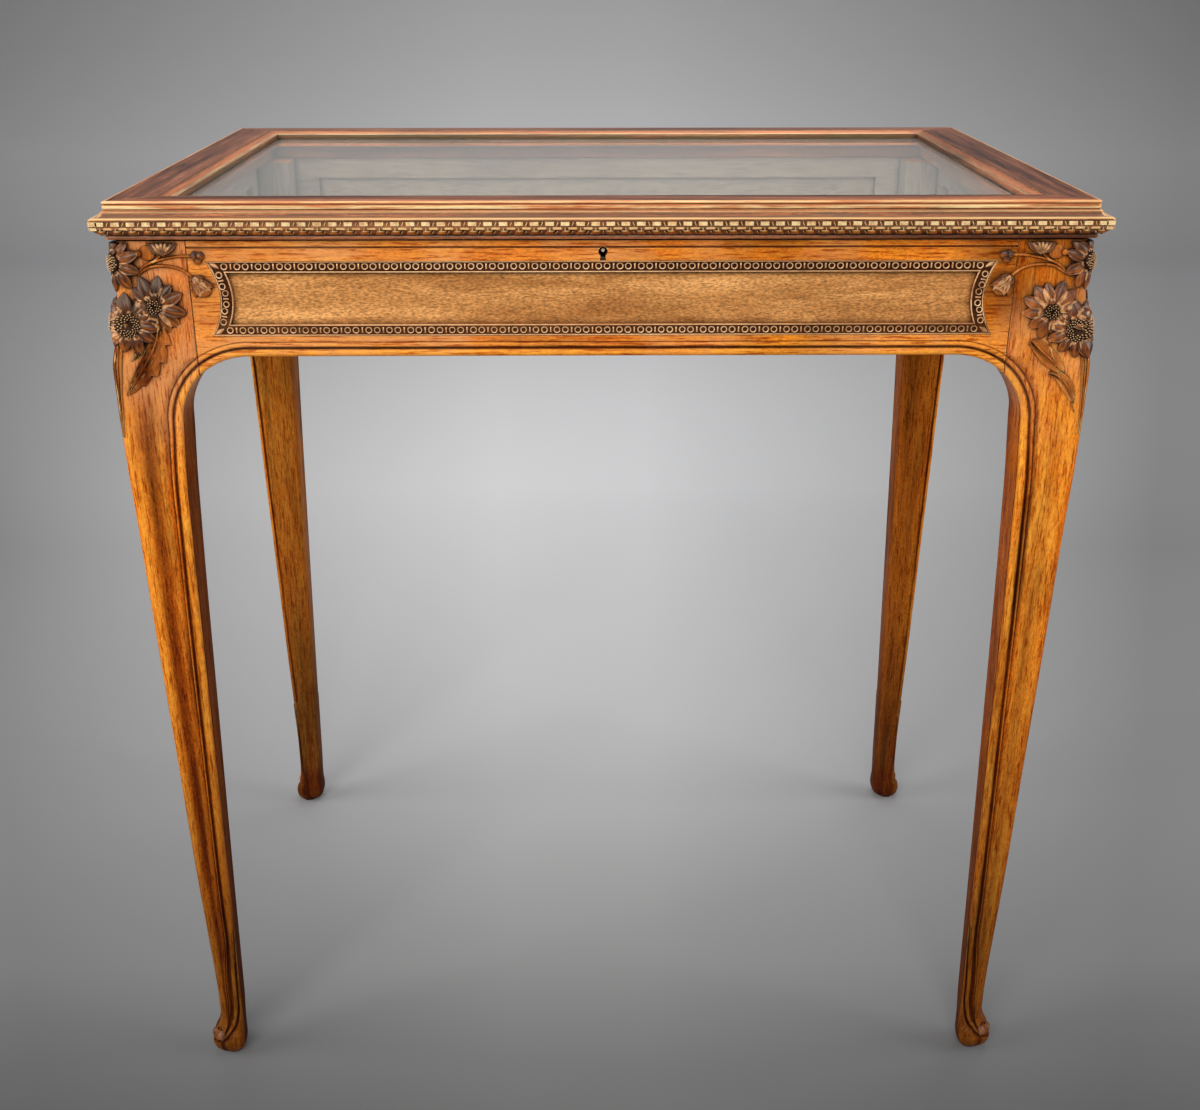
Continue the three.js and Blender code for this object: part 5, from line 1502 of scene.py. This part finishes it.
# Outer and inner ring of petals: length, width, lift, count, radius, turn, relief, and how the tips fall
PETALS = {"main": ((16.6, 8.8, 4.0, 11, 5.8, 0.2, 0.9), (6.4, 4.4, 4.7, 10, 7.4, 0.5, 0.6)),
          "second": ((18.0, 9.0, 3.5, 12, 3.8, 0.1, 0.8), (7.4, 4.6, 4.2, 8, 4.4, 0.4, 0.5)),
          "corner": ((17.2, 8.6, 4.6, 10, 4.4, 0.3, 0.9, 0.2, 0.12), (6.0, 4.4, 5.6, 8, 5.6, 0.6, 0.5))}

def daisy(which, seed, turn, shift=(0, 0)):
    x, z, lean = HEARTS[which][:3]
    first = seed + 2 * list(PETALS).index(which)
    rings = [petal_ring(*shape[:6], first + k, *shape[6:]) for k, shape in enumerate(PETALS[which])]
    return moved(gather(rings), x + shift[0], z + shift[1], turn=turn, lean=lean)

def heart(which, seeds, shift=(0, 0)):
    x, z, lean, radius, high, count, first, size = HEARTS[which]
    shape = seeds_on(radius, high - 0.1, count, first, size) if seeds else skin(disc_rings(radius, high))
    return moved(shape, x + shift[0], z + shift[1], lean=lean)

# %% [markdown]
# The stems are swept along smooth lines and grow thinner towards the tip. The buds are domes: the
# small one is a folded knob, the larger hangs in a ribbed cup, and the third opens like a fan under
# the lid's edge. The leaf has two halves that fall away from a raised midrib to a saw-cut edge.

# %% Stems, buds and leaf
def smooth_line(points, steps):
    points = np.array(points, float)
    knots = np.concatenate([[0], np.cumsum(np.linalg.norm(np.diff(points, axis=0), axis=1))])
    tangents = np.gradient(points, knots, axis=0)
    out = []
    for s in np.linspace(0, knots[-1], steps):
        i = min(len(knots) - 2, int(np.searchsorted(knots, s, "right") - 1))
        span = knots[i + 1] - knots[i]
        t = (s - knots[i]) / span
        h00, h01 = 2 * t ** 3 - 3 * t ** 2 + 1, 3 * t ** 2 - 2 * t ** 3
        h10, h11 = t ** 3 - 2 * t ** 2 + t, t ** 3 - t ** 2
        out.append(h00 * points[i] + h10 * span * tangents[i] + h01 * points[i + 1]
                   + h11 * span * tangents[i + 1])
    return np.array(out)

def with_way(line):
    """Gives each place on a line with the way the line runs there, and its share of the line"""
    return zip(line, unit(np.gradient(line, axis=0)), np.arange(len(line)) / (len(line) - 1))

STEM_ACROSS = [(-1, -1), (-0.9, 0.45), (-0.5, 0.88), (0, 1), (0.5, 0.88), (0.9, 0.45), (1, -1)]

def stem(points, wide, high, steps=18, end=0.6):
    rings = []
    for i, (place, way, _) in enumerate(with_way(smooth_line(points, steps))):
        size = 1 + (end - 1) * i / (steps - 1)
        rings.append([(place[0] - way[1] * wide / 2 * size * v, place[1] + way[0] * wide / 2 * size * v,
                       h * high * size if h > 0 else -0.8) for v, h in STEM_ACROSS])
    return skin(rings)

def bud(radius, high, ribs=1, depth=0.0, around=36, squash=1.0, twist=0.0):
    rings = []
    for r, z in ((1.0, -1.0), (1.0, high * 0.25), (0.93, high * 0.6), (0.78, high * 0.85), (0.5, high),
                 (0.22, high * 1.02)):
        ring = []
        for t in round_angles(around):
            crease = 1 - depth * (0.5 + 0.5 * math.cos(ribs * (t + twist * r))) ** 3
            ring.append((radius * r * math.cos(t) * crease, radius * r * math.sin(t) * squash * crease,
                         z * (crease if z > 0 else 1)))
        rings.append(ring)
    return skin(rings)

LEAF_ACROSS = [(-1, -1), (-1, 0.5), (-0.6, 0.25), (-0.2, 0.45), (-0.07, 0.95), (0.07, 0.95), (0.16, 0.4),
               (0.34, 0.3), (0.52, 0.5), (0.7, 0.75), (0.86, 0.85), (1, 0.6), (1, -1)]

def leaf(line, left, right, teeth, high, steps=56):
    rings = []
    for place, way, u in with_way(smooth_line(line, steps)):
        body = max(0.02, math.sin(math.pi * min(1, u * 0.88 + 0.12)) ** 0.75)
        tooth = 1.08 - 0.34 * ((1 - u) * teeth % 1.0)
        fade = 1 - 0.7 * max(0, (u - 0.6) / 0.4)
        side = np.array([-way[1], way[0]])
        ring = []
        for v, h in LEAF_ACROSS:
            wave = math.sin(2 * math.pi * (teeth * u + 1.2 * abs(v)))
            vein = 0.06 * min(teeth, 3) * wave * (0.15 < abs(v) < 0.99)
            reach = (left * body if v < 0 else right * body * tooth) * abs(v)
            spot = place + side * (-reach if v < 0 else reach)
            ring.append((spot[0], spot[1], (h + vein) * high * fade if h > 0 else -0.8))
        rings.append(ring)
    return skin(rings)

# %% Compose one face
def flat_piece(piece):
    points = np.array(piece[0], float)
    points[:, 0] = from_corner(points[:, 0], points[:, 1])
    return points, piece[1]

UNDER_LID, HIGHEST = 749.6, 750.6

def under_lid(points):
    high = points[:, 1] > UNDER_LID
    points[high, 1] = UNDER_LID + 0.12 * (points[high, 1] - UNDER_LID)
    points[:, 1] = np.minimum(points[:, 1], HIGHEST)
    return points

SHIFTS = {"left": (0, 0), "right": (-2.5, -5.0)}

def face_carving(seed, width_name):
    """Gives the flowers and buds of one face, and its stems, reeds and leaves"""
    main = daisy("main", seed, 0.15 * (seed % 3), SHIFTS[width_name])
    second = daisy("second", seed, 0.25, SHIFTS[width_name])
    stems = [stem([(14, 727), (22, 733.6), (33.9, 737.9), (45, 739.9), (57, 740)], 2.8, 2.5, end=0.75),
             stem([(16, 727.5), (25, 732.4), (34.8, 733.2), (47.6, 730.3), (57, 723)], 2.8, 2.5, end=0.75),
             stem([(27, 735.6), (31, 738.4), (35.2, 742.6)], 2.3, 2.1, end=0.9)]
    reeds = [stem([(-6.8 + k * 3.3, 678), (-8.0 + k * 2.2, 650), (-9.6 + k * 1.3, 604)], 2.1 - 0.3 * k, 1.3,
                  end=0.35) for k in range(3)]
    small = moved(bud(5.2, 4.2, 3, 0.3, twist=0.6), 60.2, 739.4)
    def petals_from(x, z, turns, length, wide, lift, relief=0.6):
        return [moved(petal_points(length, wide, lift + 0.25 * (k % 2), relief, 0.4, slope=0.2), x, z,
                      turn=math.radians(turn)) for k, turn in enumerate(turns)]
    ribbed = [moved(bud(6.0, 3.6, squash=1.05), 62.4, 716.0)]
    ribbed += petals_from(57.4, 724.0, (-96, -80, -62, -44, -28), 14.6, 4.6, 4.4)
    calyx = petals_from(57.0, 725.0, (-104, -62, -20), 7.8, 5.0, 5.0)
    fan = petals_from(35.4, 741.4, (142, 122, 102, 80, 58, 38), 13.5, 4.6, 3.6, 0.9)
    fan.append(moved(bud(3.2, 3.2), 35.4, 743.4))
    knobs = [moved(bud(2.6, 3.6), 17.8, 742.2), moved(bud(6.4, 1.7, squash=0.9), 24.0, 742.4)]
    if width_name == "left":
        leaves = [leaf([(27, 690), (23.5, 677), (16, 663), (7.5, 650), (-1.2, 637)], 4.5, 12.0, 5, 2.7),
                  leaf([(16, 684), (14, 676), (9, 668), (5, 663)], 3.0, 3.6, 3, 1.8, steps=20)]
    else:
        leaves = [leaf([(35, 676), (27.5, 669), (18.5, 661), (8.5, 652)], 6.2, 7.2, 1, 2.6),
                  leaf([(20, 652), (13.5, 650), (6.5, 643.5), (-0.5, 629)], 4.0, 5.2, 1, 2.2),
                  stem([(24, 690), (20, 668), (12, 648), (3, 632), (-1.5, 622)], 1.8, 1.5)]
    made = []
    for pieces in ([main, second, small] + ribbed + calyx + fan, leaves + stems + reeds + knobs):
        points, faces = gather([flat_piece(piece) for piece in pieces])
        made.append((under_lid(points), faces))
    return made

# %% Carve the four legs
def turned_over(piece, flip):
    return piece[0] * ((-1, 1, 1) if flip else (1, 1, 1)), piece[1]

def carving(name, points, faces, material):
    show(name, outward(mesh_from(name, points, faces)), [material], arris=48)

def hearts_of_leg(side_x, side_y, width_name, seeds):
    pieces = []
    for flip in (False, True):
        for which in ("main", "second"):
            points, faces = turned_over(flat_piece(heart(which, seeds, SHIFTS[width_name])), flip)
            pieces.append((bend(points, side_x, side_y), faces))
    points, faces = heart("corner", seeds)
    pieces.append((bend_round(under_lid(points), side_x, side_y), faces))
    return gather(pieces)

for number, (depth_name, width_name, side_x, side_y) in enumerate(LEGS):
    leg_name = f"{depth_name}_{width_name}"
    points, faces = daisy("corner", number, 0.0)
    carving(f"corner_daisy_{leg_name}", bend_round(under_lid(points), side_x, side_y), faces, carved_wood)
    for face_name, seed, flip in ((depth_name, 11, False), (width_name, 31, True)):
        pieces = face_carving(seed + number, width_name)
        for kind, material, piece in zip(("flowers", "foliage"), (carved_wood, leaf_wood), pieces):
            points, faces = turned_over(piece, flip)
            carving(f"{kind}_{face_name}_face_{leg_name}", bend(points, side_x, side_y), faces, material)
    for kind, seeds, material in (("hearts", False, heart_wood), ("seeds", True, seed_wood)):
        carving(f"daisy_{kind}_{leg_name}", *hearts_of_leg(side_x, side_y, width_name, seeds), material)

# %% [markdown]
# ## Screws and the parts that keep their CAD shape
# Hinges and lock are screwed down with slotted countersunk screws. One Geometry Nodes tree sets a
# screw on every marked point and turns each slot by chance, since nobody lines them all up. The
# glass, the boards and the metal parts already have their true shape, so they only get a finish.

# %% Screw tree
def screw_head(radius, high=0.25, around=20):
    head = solid("head", turned_rings(radius, [(1.0, -0.3), (1.0, high * 0.4), (0.82, high)], around))
    half, low, top = radius * 1.2, high - 0.35, high + 1
    corners = ((-half, low), (half, low), (half, top), (-half, top))
    return cut(head, [solid("slot", [[(x, y, z) for x, z in corners] for y in (-0.22, 0.22)])])

def make_screw_tree():
    tree, given, result = new_group("screws on points", [
        ("Geometry", "Geometry"), ("Screw", "Object"), ("Seed", "Int", 1),
    ], [("Geometry", "Geometry")], NODES)
    turn = vector_of(Z=chance(tree, 0.0, math.pi, given["Seed"]))
    copies = copies_on(given["Geometry"], given["Screw"])
    spun = add_node(tree, "GeometryNodeRotateInstances", Instances=copies, Rotation=turn)[0]
    feed(result, Geometry=real_copies(spun))
    return tree

def screws(name, points, radius, material, seed, body="case"):
    """Sets screws on top of the case, or upside down in the lid"""
    points, faces = grown(screw_tree, flat_mesh("marks", points), "Screw", screw_head(radius), Seed=seed)
    points[:, 2] = CASE_TOP + points[:, 2] if body == "case" else LID_LOW - points[:, 2]
    show(name, outward(mesh_from(name, points, faces)), [material], arris=30, body=body)

screw_tree = make_screw_tree()
leaf_points = [(centre + dx, HALF_DEPTH - 9.0 + dy) for centre in HINGE_CENTRES
               for dx, dy in ((-17, 0.8), (0, -2.2), (17, 0.8))]
plate_y = -HALF_DEPTH + LOCK_FRONT + LOCK_THICK / 2
screws("screws_lower_leaves", leaf_points, 2.3, brass, 5)
screws("screws_upper_leaves", leaf_points, 2.3, brass, 9, "lid")
screws("screws_lock", [(-25, plate_y), (25, plate_y)], 1.5, steel, 2)
screws("screws_link_plate", [(-24.5, plate_y), (24.5, plate_y)], 1.5, brass, 3, "lid")

# %% Finishes for the CAD parts
def dress(node, material):
    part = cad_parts[node]
    part.data.materials.clear()
    part.data.materials.append(material)

for side in SIDES:
    for node, finishes in (("panel", (panel_along, panel_across)), ("bearer", (bare_along, bare_across)),
                           ("glazing_bead", (lid_along, lid_across))):
        dress(f"{node}_{side}", finishes[0 if is_long(side) else 1])
for part in ("lower_leaf", "upper_leaf", "pin"):
    for side in ("left", "right"):
        dress(f"hinge_{part}_{side}", brass)
for node, finish in (("display_board", bare_along), ("lid_glass", pane), ("lock_case", steel),
                     ("lock_bolt", steel), ("lock_cap", cap_brass), ("lock_link_plate", brass)):
    dress(node, finish)
print("finishes set")
